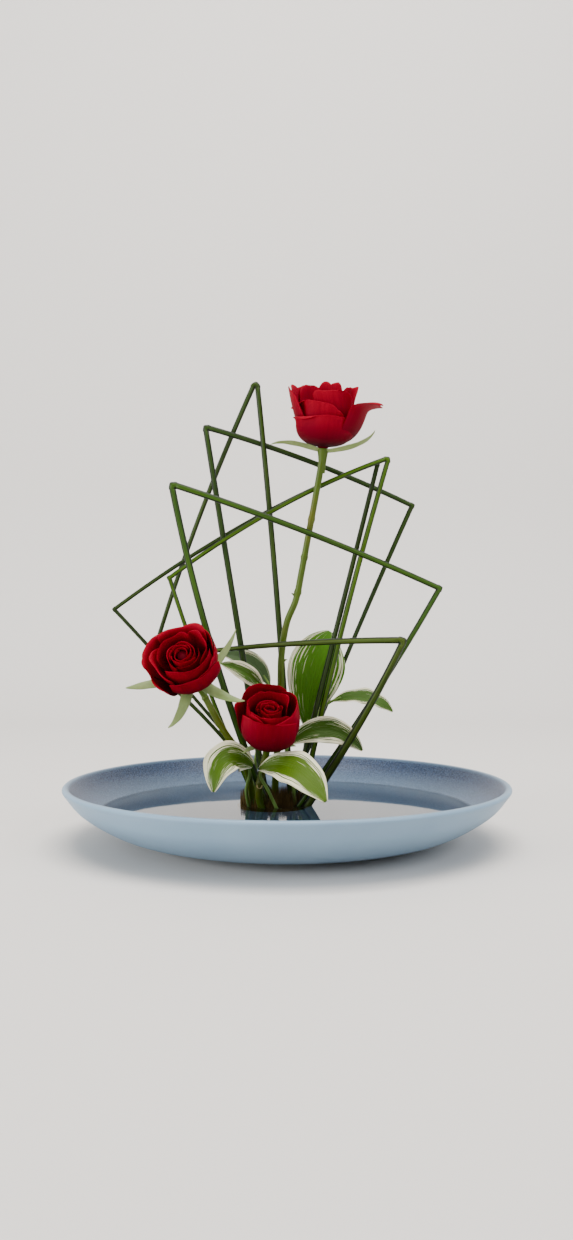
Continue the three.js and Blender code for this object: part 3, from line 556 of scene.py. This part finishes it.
def new_growth(name, inputs):
    """A geometry node tree with named inputs, a finish the last of them. Gives the inputs' sockets too."""
    tree = bpy.data.node_groups.new(name, "GeometryNodeTree")
    for label, kind in (inputs | {"Finish": "Material"}).items():
        tree.interface.new_socket(label, in_out="INPUT", socket_type=f"NodeSocket{kind}")
    tree.interface.new_socket("Geometry", in_out="OUTPUT", socket_type="NodeSocketGeometry")
    return tree, add(tree, "NodeGroupInput").outputs


def end_growth(tree, geometry, finish):
    """The end of a tree: instances are made real and take the finish."""
    real = add(tree, "GeometryNodeRealizeInstances", {"Geometry": geometry})
    dressed = add(tree, "GeometryNodeSetMaterial", {"Geometry": real, "Material": finish})
    add(tree, "NodeGroupOutput", {0: dressed})
    return tree


def sweep_tree():
    """Skins a row of rings: each point carries its ring's two half axes, and its reach along the row."""
    tree, given = new_growth("skin_over_rings", {"Rings": "Geometry", "Sides": "Int"})
    rings = given["Rings"]
    size = add(tree, "GeometryNodeAttributeDomainSize", {"Geometry": rings}, component="MESH")
    spans = add(tree, "ShaderNodeMath", {0: size.outputs["Point Count"], 1: 1.0}, operation="SUBTRACT")
    tube = add(tree, "GeometryNodeMeshCylinder", {
        "Vertices": given["Sides"], "Side Segments": spans, "Radius": 1.0, "Depth": spans,
    }, fill_type="TRIANGLE_FAN")
    place = add(tree, "GeometryNodeInputPosition")
    parts = add(tree, "ShaderNodeSeparateXYZ", {0: place}).outputs
    middle = add(tree, "ShaderNodeMath", {0: spans, 1: 0.5}, operation="MULTIPLY")
    height = add(tree, "ShaderNodeMath", {0: parts["Z"], 1: middle}, operation="ADD")
    number = add(tree, "ShaderNodeMath", {0: height}, operation="ROUND")
    sampled = {}
    for name in ("position", "thick", "wide", "reach"):
        kind = "FLOAT" if name == "reach" else "FLOAT_VECTOR"
        value = add(tree, "GeometryNodeInputNamedAttribute", {"Name": name}, data_type=kind)
        sampled[name] = add(tree, "GeometryNodeSampleIndex", {
            "Geometry": rings, "Value": value, "Index": number,
        }, data_type=kind)
    thick = add(tree, "ShaderNodeVectorMath", {0: sampled["thick"], "Scale": parts["X"]}, operation="SCALE")
    wide = add(tree, "ShaderNodeVectorMath", {0: sampled["wide"], "Scale": parts["Y"]}, operation="SCALE")
    out = add(tree, "ShaderNodeVectorMath", {0: thick, 1: wide}, operation="ADD")
    there = add(tree, "ShaderNodeVectorMath", {0: sampled["position"], 1: out}, operation="ADD")
    spot = add(tree, "ShaderNodeCombineXYZ", {"X": parts["X"], "Y": parts["Y"], "Z": sampled["reach"]})
    marked = add(tree, "GeometryNodeStoreNamedAttribute", {
        "Geometry": tube, "Name": "spot", "Value": spot,
    }, data_type="FLOAT_VECTOR", domain="POINT")
    moved = add(tree, "GeometryNodeSetPosition", {"Geometry": marked, "Position": there})
    smooth = add(tree, "GeometryNodeSetShadeSmooth", {"Geometry": moved})
    return end_growth(tree, smooth, given["Finish"])


def pins_tree():
    """A pin on every point, each leaning a little its own way."""
    tree, given = new_growth("pins_on_points", {
        "Feet": "Geometry", "Pin radius": "Float", "Pin length": "Float", "Lean": "Float",
    })
    tip = add(tree, "ShaderNodeMath", {0: given["Pin radius"], 1: 0.15}, operation="MULTIPLY")
    pin = add(tree, "GeometryNodeMeshCone", {
        "Vertices": 7, "Side Segments": 3, "Radius Top": tip,
        "Radius Bottom": given["Pin radius"], "Depth": given["Pin length"],
    })
    back = add(tree, "ShaderNodeMath", {0: given["Lean"], 1: -1.0}, operation="MULTIPLY")
    low = add(tree, "ShaderNodeCombineXYZ", {"X": back, "Y": back})
    high = add(tree, "ShaderNodeCombineXYZ", {"X": given["Lean"], "Y": given["Lean"]})
    lean = add(tree, "FunctionNodeRandomValue", {
        "Min": low, "Max": high, "Seed": 4,
    }, data_type="FLOAT_VECTOR")
    pins = add(tree, "GeometryNodeInstanceOnPoints", {
        "Points": given["Feet"], "Instance": pin, "Rotation": lean,
    })
    return end_growth(tree, pins, given["Finish"])


def placed(name, data):
    """A new object of the scene."""
    made = bpy.data.objects.new(name, data)
    bpy.context.scene.collection.objects.link(made)
    return made


def grown(name, carrier_mesh, tree, settings):
    """The mesh that a geometry node tree makes of a carrier, as a plain object."""
    carrier = placed(name, carrier_mesh)
    modifier = carrier.modifiers.new(name, "NODES")
    modifier.node_group = tree
    for item in tree.interface.items_tree:
        if item.item_type == "SOCKET" and item.name in settings:
            modifier[item.identifier] = settings[item.name]
    graph = bpy.context.evaluated_depsgraph_get()
    graph.update()
    shown = carrier.evaluated_get(graph)
    mesh = bpy.data.meshes.new_from_object(shown, preserve_all_data_layers=True, depsgraph=graph)
    bpy.data.objects.remove(carrier)
    return placed(name, mesh)


# --- shapes ---


def mix(a, b, share):
    return a + (b - a) * share


def smooth_run(points, steps):
    """A centripetal Catmull-Rom curve through the points: its places, with the way that it goes there."""
    stops = [Vector(point) for point in points]
    ends = [2 * stops[0] - stops[1], *stops, 2 * stops[-1] - stops[-2]]
    spans = len(stops) - 1

    def place(share):
        spot = min(max(share, 0.0), 1.0) * spans
        index = min(int(spot), spans - 1)
        t = spot - index
        p0, p1, p2, p3 = ends[index:index + 4]
        d0, d1, d2 = [max((b - a).length, 1e-6) ** 0.5 for a, b in ((p0, p1), (p1, p2), (p2, p3))]
        m1 = (p1 - p0) / d0 - (p2 - p0) / (d0 + d1) + (p2 - p1) / d1
        m2 = (p2 - p1) / d1 - (p3 - p1) / (d1 + d2) + (p3 - p2) / d2
        m1, m2 = m1 * d1, m2 * d1
        return (
            p1 * (2 * t**3 - 3 * t**2 + 1) + m1 * (t**3 - 2 * t**2 + t)
            + p2 * (3 * t**2 - 2 * t**3) + m2 * (t**3 - t**2)
        )

    small = 1e-4
    run = []
    for step in range(steps + 1):
        share = step / steps
        way = place(share + small) - place(share - small)
        run.append((place(share), way.normalized()))
    return run


def flat_run(points, steps):
    """The smooth run through (radius, height) pairs, as pairs."""
    return [(at.x, at.y) for at, _ in smooth_run([(r, z, 0) for r, z in points], steps)]


def reaches(profile):
    """How far along a profile each of its points is."""
    return list(accumulate((math.dist(a, b) for a, b in zip(profile, profile[1:])), initial=0.0))


BOWL_WALL = flat_run(BOWL_INSIDE, BOWL_STEPS[1])
BOWL_PROFILE = BOWL_FOOT[:-1] + flat_run(BOWL_OUTSIDE, BOWL_STEPS[0]) + BOWL_WALL[1:]
RIM_REACH = max(zip(BOWL_PROFILE, reaches(BOWL_PROFILE)), key=lambda pair: pair[0][1])[1]


class Rings:
    """A row of rings to be skinned: their middles, the two half axes of each, and the reach along it."""

    def __init__(self):
        self.middles, self.thick, self.wide, self.reach = [], [], [], []

    def put(self, middle, thick, wide):
        gone = (middle - self.middles[-1]).length if self.middles else 0.0
        self.reach.append((self.reach[-1] if self.reach else 0.0) + gone)
        self.middles.append(middle)
        self.thick.append(thick)
        self.wide.append(wide)

    def put_level(self, middle, radius):
        """A round ring that lies level."""
        self.put(middle, Vector((radius, 0, 0)), Vector((0, radius, 0)))

    def carrier(self):
        mesh = bpy.data.meshes.new("rings")
        mesh.from_pydata([middle * MM for middle in self.middles], [], [])
        for name, rows in (("thick", self.thick), ("wide", self.wide)):
            layer = mesh.attributes.new(name, "FLOAT_VECTOR", "POINT")
            layer.data.foreach_set("vector", [part * MM for row in rows for part in row])
        layer = mesh.attributes.new("reach", "FLOAT", "POINT")
        layer.data.foreach_set("value", self.reach)
        return mesh


SWEEP = sweep_tree()
PINS = pins_tree()


def swept(name, rings, sides, finish):
    return grown(name, rings.carrier(), SWEEP, {"Sides": sides, "Finish": finish})


def turned(name, profile, sides, finish):
    """A profile of (radius, height) from the middle of the underside outward, up and back inside."""
    rings = Rings()
    for radius, height in profile:
        rings.put_level(Vector((0, 0, height)), radius)
    rings.reach = reaches(profile)
    return swept(name, rings, sides, finish)


def bowed(start, end, bow, share):
    """A place on a bowed line, and the way that the line goes there."""
    point = start.lerp(end, share) + bow * (4 * share * (1 - share))
    along = end - start + bow * (4 * (1 - 2 * share))
    return point, along.normalized()


def section_ways(along):
    """The two directions of a rush's section: across its flat side, and along it, which is level."""
    wide_way = (Vector((0, 1, 0)) - along * along.y).normalized()
    return wide_way.cross(along), wide_way


def put_fold(rings, corner, before, after, radius):
    """The sections of a fold turn round the crease, where the inner sides of its two runs meet."""
    turn = before.angle(after)
    outward = (before - after).normalized()
    crease = corner - outward * (radius / math.cos(turn / 2))
    steps = round(turn / FOLD_STEP)
    for step in range(1, steps):
        share = step / steps
        along = (before * math.sin((1 - share) * turn) + after * math.sin(share * turn)).normalized()
        thick_way, wide_way = section_ways(along)
        pressed = math.sin(math.pi * share)
        thick = radius * (1 + FOLD_BULGE * pressed + FOLD_PEAK * pressed**FOLD_KEENNESS)
        side = math.copysign(1, thick_way.dot(outward))
        centre = crease + thick_way * (side * (thick + FOLD_CREASE))
        rings.put(centre, thick_way * thick, wide_way * (radius * (1 + FOLD_SPREAD * pressed)))


def rush_rings(rush):
    """A rush along its bowed runs and round its folds, on the line that its solid follows."""
    stops = [Vector(corner) for corner in rush["corners"]]
    bows = [Vector(bow) for bow in rush["bows"]]
    lengths = [(b - a).length for a, b in zip(stops, stops[1:])]
    total = sum(lengths)
    rings = Rings()
    travelled = cut = 0.0
    for run, length in enumerate(lengths):
        start, end, bow = stops[run], stops[run + 1], bows[run]
        folded = run < len(lengths) - 1
        before = bowed(start, end, bow, 1)[1]
        after = bowed(end, stops[run + 2], bows[run + 1], 0)[1] if folded else before
        fold_radius = mix(*rush["radii"], (travelled + length) / total)
        next_cut = fold_radius * math.tan(before.angle(after) / 2)
        pieces = max(8, round(length / RUN_STEP))
        for piece in range(pieces + 1):
            share = mix(cut / length, 1 - next_cut / length, piece / pieces)
            point, along = bowed(start, end, bow, share)
            thick_way, wide_way = section_ways(along)
            radius = mix(*rush["radii"], (travelled + share * length) / total)
            rings.put(point, thick_way * radius, wide_way * radius)
        if folded:
            put_fold(rings, end, before, after, fold_radius)
        travelled += length
        cut = next_cut
    return rings


def stalk_rings(route, radii, steps, swell=()):
    """A round stalk through the points. Each swell is (share, extra radius, length as a share)."""
    rings = Rings()
    side = Vector((1, 0, 0))
    for step, (middle, along) in enumerate(smooth_run(route, steps)):
        share = step / steps
        side = (side - along * along.dot(side)).normalized()
        spot = share * (len(radii) - 1)
        before = min(int(spot), len(radii) - 2)
        radius = mix(radii[before], radii[before + 1], spot - before)
        for centre, extra, length in swell:
            radius += extra * math.exp(-(((share - centre) / length) ** 2))
        rings.put(middle, side * radius, along.cross(side) * radius)
    return rings


class Shells:
    """Closed shells gathered into one mesh, with the spot attribute that the materials read."""

    def __init__(self):
        self.points, self.faces, self.spots = [], [], []

    def blade(self, surface, columns, rows, number=0.0, thickness=LEAF_BLADE, turn=None):
        """A sheet with two faces and an edge. It thins towards its rim, and its number moves its pattern."""
        small = 1e-3
        start = len(self.points)
        fronts, backs = [], []
        for row in range(rows + 1):
            for column in range(columns + 1):
                u, v = -1 + 2 * column / columns, row / rows
                point = surface(u, v)
                along_u = surface(u + small, v) - surface(u - small, v)
                along_v = surface(u, v + small) - surface(u, v - small)
                normal = along_u.cross(along_v).normalized()
                edge = max(abs(u) ** 6, v**12)
                half = thickness / 2 * mix(1, BLADE_RIM, edge)
                for faces, way in ((fronts, half), (backs, -half)):
                    at = point + normal * way
                    faces.append(turn @ at if turn else at)
                self.spots.append((u, v, number))
        self.points += fronts + backs
        self.spots += self.spots[-len(fronts):]
        back = len(fronts)
        width = columns + 1
        for row in range(rows):
            for column in range(columns):
                a = start + row * width + column
                b, c, d = a + 1, a + width + 1, a + width
                self.faces.append((a, b, c, d))
                self.faces.append((back + a, back + d, back + c, back + b))
        edge = list(range(columns))
        edge += [row * width + columns for row in range(rows)]
        edge += [rows * width + column for column in range(columns, 0, -1)]
        edge += [row * width for row in range(rows, 0, -1)]
        for here, following in zip(edge, edge[1:] + edge[:1]):
            a, b = start + here, start + following
            self.faces.append((a, back + a, back + b, b))

    def lathe(self, profile, sides, turn):
        """A small turned body whose profile starts and ends on its axis."""
        start = len(self.points)
        inner = profile[1:-1]
        self.points.append(turn @ Vector((0, 0, profile[0][1])))
        for radius, height in inner:
            for side in range(sides):
                angle = 2 * math.pi * side / sides
                at = Vector((radius * math.cos(angle), radius * math.sin(angle), height))
                self.points.append(turn @ at)
        self.points.append(turn @ Vector((0, 0, profile[-1][1])))
        # every lathed point takes the dark colour of the petals' painted shade, which only the core's finish
        # reads
        self.spots += [(0.0, CORE_PAINTED_SHADE, 0.0)] * (len(self.points) - start)
        last = len(self.points) - 1
        for side in range(sides):
            following = (side + 1) % sides
            self.faces.append((start, start + 1 + following, start + 1 + side))
            for row in range(len(inner) - 1):
                a, b = start + 1 + row * sides + side, start + 1 + row * sides + following
                self.faces.append((a, b, b + sides, a + sides))
            top = start + 1 + (len(inner) - 1) * sides
            self.faces.append((top + side, top + following, last))

    def piece(self, name, finish):
        mesh = bpy.data.meshes.new(name)
        mesh.from_pydata([point * MM for point in self.points], [], self.faces)
        layer = mesh.attributes.new("spot", "FLOAT_VECTOR", "POINT")
        layer.data.foreach_set("vector", [part for spot in self.spots for part in spot])
        mesh.polygons.foreach_set("use_smooth", [True] * len(mesh.polygons))
        mesh.materials.append(finish)
        mesh.update()
        return placed(name, mesh)


def leaf_surface(midrib, half_width, belly, facing, fold, wave):
    """A pointed blade over its midrib, folded a little along it, with a waved edge."""
    base, middle, tip = [Vector(point) for point in midrib]
    bow = middle - (base + tip) / 2
    power = math.log(0.5) / math.log(belly)
    facing = Vector(facing)

    def surface(u, v):
        share = min(max(v, 0.0), 1.0)
        point, along = bowed(base, tip, bow, share)
        across = along.cross(facing).normalized()
        normal = across.cross(along)
        inside = mix(*LEAF_ENDS, min(max(v, -0.02), 1.02))
        width = half_width * math.sin(math.pi * inside**power) ** LEAF_FULLNESS
        sign = (u > 0) - (u < 0)
        lift = math.sin(2 * math.pi * LEAF_WAVES * v + WAVE_SHIFT * sign)
        point = point + across * (u * width * math.cos(fold)) + normal * (abs(u) * width * math.sin(fold))
        return point + normal * (wave * lift * u * u * math.sin(math.pi * share))

    return surface


def petal_surface(petal, base, ruffle):
    """A piece of a cup with a round top. Its corners roll out further than its middle, and its lip is
    ragged, nicked and waved as far as it is ruffled."""
    at, half, belly, shoulder, lip, height, roll, lean, slant = petal
    stops = (
        (PETAL_FOOT, base), (belly * PETAL_BELLY[0], base + PETAL_BELLY[1] * height),
        (shoulder, mix(base, height, PETAL_SHOULDER)), (lip, height),
    )

    def surface(u, v):
        # each wave has a length of its own across the petal, and its azimuth shifts it
        nick = max(0.0, 1 - abs(math.sin(2.6 * u + 1.7 * at))) ** 3
        ragged = LIP_RAG * math.sin(4.3 * u + 2 * at) + LIP_NICK * nick
        up = v * (1 - LIP_ROUND * abs(u) ** 3 - slant * u - ragged * ruffle)
        t = min(max(up, 0.0), 1.0)
        shares = ((1 - t) ** 3, 3 * t * (1 - t) ** 2, 3 * t * t * (1 - t), t**3)
        radius = sum(share * stop[0] for share, stop in zip(shares, stops))
        level = sum(share * stop[1] for share, stop in zip(shares, stops))
        rolled = max(0.0, (up - ROLL_START) / (1 - ROLL_START))
        widened = math.sin(math.pi / 2 * min(1.0, max(up, 0.0) / PETAL_FULL))
        narrow = mix(PETAL_NARROW, 1, widened)
        angle = math.radians(at + lean * up) + u * half * narrow / max(radius, 4)
        curl = roll * (1 + CORNER_ROLL * u * u)
        out = radius + PETAL_SPIRAL * u + curl * rolled**2
        drop = ROLL_DROP * curl * rolled**3
        wave = math.sin(2.9 * u + at) + 0.45 * math.sin(6.3 * u + 3 * at)
        waved = ruffle * max(0.0, (up - WAVE_START) / (1 - WAVE_START)) ** 2 * wave
        out += waved + PETAL_CREASE * ruffle * max(0.0, up - 0.1) * math.sin(9.0 * u + 2.5 * up + at)
        return Vector((out * math.cos(angle), out * math.sin(angle), level - drop + 0.5 * waved))

    return surface


def heart_petals(heart):
    """The petals of the heart, a golden angle apart. They stand closer in towards its middle."""
    rows = []
    for i in range(heart["petals"]):
        outer = (i + 1) / heart["petals"]
        belly, shoulder, lip = [heart["radius"] * mix(*ends, outer) for ends in HEART_RADII]
        rows.append((
            heart["turn"] + i * GOLDEN_ANGLE, mix(*HEART_HALVES, outer), belly, shoulder, lip,
            heart["height"] * mix(HEART_LOWEST, 1, math.sin(math.pi * outer)), mix(*HEART_ROLLS, outer), 0, 0,
        ))
    return rows


# --- pieces ---


def settle(piece, node):
    """Stands for its CAD node and rides on the one body."""
    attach(piece, "root")
    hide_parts(node)


def joined(name, pieces):
    """Several plain meshes as one piece, each part keeping its finish."""
    for piece in bpy.context.view_layer.objects:
        piece.select_set(piece in pieces)
    bpy.context.view_layer.objects.active = pieces[0]
    bpy.ops.object.join()
    pieces[0].name = name
    return pieces[0]


def standing(place, way):
    """The turn and move that stand a thing, made round the Z axis, at a place with its top that way."""
    turn = Vector((0, 0, 1)).rotation_difference(way).to_matrix().to_4x4()
    return Matrix.Translation(place) @ turn


def make_bowl():
    bowl = turned("bowl_glazed", BOWL_PROFILE, sides=256, finish=glazed_stoneware())
    settle(bowl, "bowl")


def make_water():
    """The water's underside follows the bowl up to the meniscus, and its top runs back to the middle."""
    wetted = [at for at in reversed(BOWL_WALL) if at[1] < WATER_TOP[0][1]]
    underside = [(radius + WATER_SINK, height - WATER_SINK) for radius, height in wetted]
    water = turned("water_surface", underside + WATER_TOP, sides=192, finish=still_water())
    settle(water, "water")


def pin_feet():
    """A lattice of three-cornered cells over the plate, each row between the pins of the one before."""
    pitch = HOLDER["pitch"]
    row_pitch = pitch * math.sin(math.pi / 3)
    rows = math.ceil(HOLDER["radius"] / row_pitch)
    turn = Matrix.Rotation(math.radians(HOLDER["turn"]), 4, "Z")
    middle = Vector((HOLDER["x"], HOLDER["y"], HOLDER["top"] - HOLDER["sunk"]))
    feet = []
    for row in range(-rows, rows + 1):
        for column in range(-rows, rows + 1):
            x, y = (column + row % 2 / 2) * pitch, row * row_pitch
            if math.hypot(x, y) < HOLDER["radius"] - HOLDER["border"]:
                feet.append((turn @ Vector((x, y, 0)) + middle) * MM)
    return feet


def make_pin_holder():
    brass = tarnished_brass()
    radius, bottom, top, edge = [HOLDER[part] for part in ("radius", "bottom", "top", "edge")]
    rings = Rings()
    for r, z in (
        (HOLDER["face"], bottom), (radius - edge, bottom), (radius, bottom + edge),
        (radius, top - edge), (radius - edge, top), (HOLDER["face"], top),
    ):
        rings.put_level(Vector((HOLDER["x"], HOLDER["y"], z)), r)
    plate = swept("plate", rings, sides=96, finish=brass)
    mesh = bpy.data.meshes.new("feet")
    mesh.from_pydata(pin_feet(), [], [])
    pins = grown("pins", mesh, PINS, {
        "Pin radius": HOLDER["pin"] * MM, "Pin length": (HOLDER["tip"] - top) * MM,
        "Lean": HOLDER["lean"], "Finish": brass,
    })
    settle(joined("pin_holder_brass", [plate, pins]), "pin_holder")


def make_rushes():
    for rush in RUSHES:
        finish = fresh_rush(f"fresh_{rush['name']}", rush["green"])
        piece = swept(f"{rush['name']}_stem", rush_rings(rush), sides=20, finish=finish)
        settle(piece, rush["name"])


def make_leaves():
    stalk_finish = smooth_skin("hosta_stalk", "#6f9040", "#8fae5a")
    for leaf in LEAVES:
        finish = hosta_leaf(f"hosta_{leaf['name']}", leaf["green"], leaf["margins"], leaf["streaks"])
        shells = Shells()
        surface = leaf_surface(
            leaf["midrib"], leaf["half_width"], leaf["belly"], leaf["facing"], leaf["fold"], leaf["wave"]
        )
        shells.blade(surface, *LEAF_MESH)
        blade = shells.piece(f"{leaf['name']}_blade", finish)
        radii = [leaf.get("stalk_radius", STALK_RADIUS) * taper for taper in STALK_TAPER]
        rings = stalk_rings(leaf["stalk"], radii, steps=60)
        stalk = swept("stalk", rings, sides=14, finish=stalk_finish)
        settle(joined(f"{leaf['name']}_blade", [blade, stalk]), leaf["name"])


def make_thorns(rose, bark):
    """Thorn stubs on a rose's stem, each at its share of the stem, its azimuth and its rise in degrees."""
    if not rose["thorns"]:
        return []
    steps = 100
    run = smooth_run(rose["stem"], steps)
    shells = Shells()
    for share, azimuth, rise in rose["thorns"]:
        around, slope = math.radians(azimuth), math.tan(math.radians(rise))
        way = Vector((math.cos(around), math.sin(around), slope))
        place = run[round(share * steps)][0] + way.normalized() * (rose["stem_radius"] - THORN_ROOT)
        shells.lathe(THORN, sides=10, turn=standing(place, way))
    return [shells.piece("thorns", bark)]


def make_scar(place):
    """Where a leaf was cut from a stem: a corky ring round its dark pith, facing the front."""
    turn = Matrix.Translation(place) @ Matrix.Rotation(math.pi / 2, 4, "X")
    parts = []
    for name, profile, colours in (
        ("cork", SCAR_CORK, ("#d8cba0", "#b89a60")), ("pith", SCAR_PITH, ("#6a2f14", "#3a1a0c")),
    ):
        shells = Shells()
        shells.lathe(profile, sides=20, turn=turn)
        parts.append(shells.piece(name, smooth_skin(f"scar_{name}", *colours)))
    return parts


def make_bloom(rose, finish):
    """The petals of the heart and the rows round them, each row's foot lower than the one inside it."""
    turn = standing(Vector(rose["seat"]), Vector(rose["axis"]).normalized())
    heart = rose["heart"]
    petals = heart_petals(heart) + rose["petals"]
    shells = Shells()
    core = [*CORE_FOOT, (CORE_FOOT[-1][0], heart["height"] * CORE_WAIST)]
    core += [(heart["radius"] * out, heart["height"] * up) for out, up in CORE_TOP]
    shells.lathe(core, sides=24, turn=turn)
    for i, petal in enumerate(petals):
        base = PETAL_BASE + PETAL_STEP * (len(petals) - 1 - i)
        columns, rows, ruffle = HEART_MESH if i < heart["petals"] else PETAL_MESH
        surface = petal_surface(petal, base, ruffle)
        shells.blade(surface, columns, rows, number=i, thickness=PETAL_BLADE, turn=turn)
    settle(shells.piece(f"{rose['name']}_petals", finish), f"{rose['name']}_bloom")


def make_stalk(rose, bark, sepal_finish):
    """A rose's stem with its nodes, its hip and sepals, and its thorns or scar."""
    seat, axis = Vector(rose["seat"]), Vector(rose["axis"]).normalized()
    radii = [rose["stem_radius"] * taper for taper in STEM_TAPER]
    swell = [(share, NODE_SWELL, NODE_LENGTH) for share in rose["stem_nodes"]]
    rings = stalk_rings(rose["stem"], radii, steps=160, swell=swell)
    stem = swept("stem", rings, sides=20, finish=bark)
    hip_route = [seat - axis * rose["hip_length"] * share for share in HIP_SHARES]
    hip_radii = [rose["stem_radius"] * HIP_NECK, *HIP_RADII]
    hip = swept("hip", stalk_rings(hip_route, hip_radii, steps=24), sides=20, finish=bark)
    shells = Shells()
    foot = seat - axis * SEPAL_DROP
    for reach in rose["sepals"]:
        surface = leaf_surface(
            [foot, *reach], rose["sepal_half"], belly=0.3, facing=rose["sepal_facing"], fold=0.1, wave=0.3
        )
        shells.blade(surface, *SEPAL_MESH)
    sepals = shells.piece("sepals", sepal_finish)
    marks = make_thorns(rose, bark)
    if "scar" in rose:
        marks += make_scar(rose["scar"])
    settle(joined(f"{rose['name']}_stalk", [stem, hip, sepals, *marks]), f"{rose['name']}_stem")


def make_roses():
    petal_finish = rose_petal()
    bark = smooth_skin("rose_bark", "#4a6004", "#57580a")
    sepal_finish = smooth_skin("rose_sepal", "#8a9a62", "#6a8048")
    for rose in ROSES:
        make_bloom(rose, petal_finish)
        make_stalk(rose, bark, sepal_finish)


make_bowl()
make_water()
make_pin_holder()
make_rushes()
make_leaves()
make_roses()

# --- stage, light and camera, in metres ---

FLOOR_HALF = 5.0
FLOOR_FRONT = -4.0
COVE_START = 1.1  # the floor curves up into the wall from here, on this radius
COVE_RADIUS = 0.5
WALL_TOP = 4.5
CAMERA_AWAY = 1.0
CAMERA_HEIGHT = 0.198
FOCAL_PIXELS = 1104
FRAME_PIXELS = 1240  # the photograph's height
SENSOR = 36  # and the camera's, in its own millimetres
OFF_MIDDLE = 0.5  # how many pixels the bowl's middle is to the right of the picture's


def make_stage():
    """A pale floor that curves up into a wall far behind the object."""
    profile = [(FLOOR_FRONT, 0.0), (COVE_START, 0.0)]
    steps = 12
    for step in range(1, steps + 1):
        angle = math.pi / 2 * step / steps
        profile.append((COVE_START + COVE_RADIUS * math.sin(angle), COVE_RADIUS * (1 - math.cos(angle))))
    profile.append((COVE_START + COVE_RADIUS, WALL_TOP))
    points = [(x, y, z) for y, z in profile for x in (-FLOOR_HALF, FLOOR_HALF)]
    faces = [(2 * i, 2 * i + 1, 2 * i + 3, 2 * i + 2) for i in range(len(profile) - 1)]
    mesh = bpy.data.meshes.new("floor")
    mesh.from_pydata(points, [], faces)
    mesh.polygons.foreach_set("use_smooth", [True] * len(faces))
    mesh.materials.append(finish_of("matt_paint", {"Roughness": 0.8, "Base Color": "#d9d6d2"})[0])
    floor = placed("floor", mesh)


def soft_light(name, place, aim, size, power, colour="#ffffff"):
    """A soft box at a place, aimed at another: its two sides, and its power in watts."""
    data = bpy.data.lights.new(name, "AREA")
    data.shape = "RECTANGLE"
    data.size, data.size_y = size
    data.energy = power
    data.color = linear(colour)[:3]
    light = placed(name, data)
    light.location = place
    light.rotation_mode = "QUATERNION"
    light.rotation_quaternion = (Vector(aim) - Vector(place)).to_track_quat("-Z", "Y")


def make_light():
    soft_light("overhead", (0.2, -0.5, 2.4), (0, 0.1, 0.1), (2.0, 1.6), 85, "#fff8f0")
    soft_light("window", (2.2, -1.4, 1.5), (0, 0, 0.2), (1.6, 1.6), 42, "#eef4ff")
    soft_light("fill", (-2.4, -1.3, 0.6), (0, 0, 0.15), (1.8, 1.0), 78)
    soft_light("wall_wash", (0, 0.3, 3.0), (0, 1.6, 0.8), (3.0, 0.8), 45)
    world = bpy.data.worlds.new("studio")
    world.use_nodes = True
    plug(world.node_tree, world.node_tree.nodes["Background"], {"Color": "#e6e6e6", "Strength": 0.62})
    bpy.context.scene.world = world


def make_camera():
    """Level, as high and as far away as the ellipse of the bowl's rim in the photograph says."""
    data = bpy.data.cameras.new("camera")
    data.lens = FOCAL_PIXELS * SENSOR / FRAME_PIXELS
    data.shift_x = -OFF_MIDDLE / FRAME_PIXELS
    data.clip_start, data.clip_end = 0.05, 30
    camera = placed("camera", data)
    camera.location = (0, -CAMERA_AWAY, CAMERA_HEIGHT)
    camera.rotation_euler = (math.pi / 2, 0, 0)
    bpy.context.scene.camera = camera


make_stage()
make_light()
make_camera()
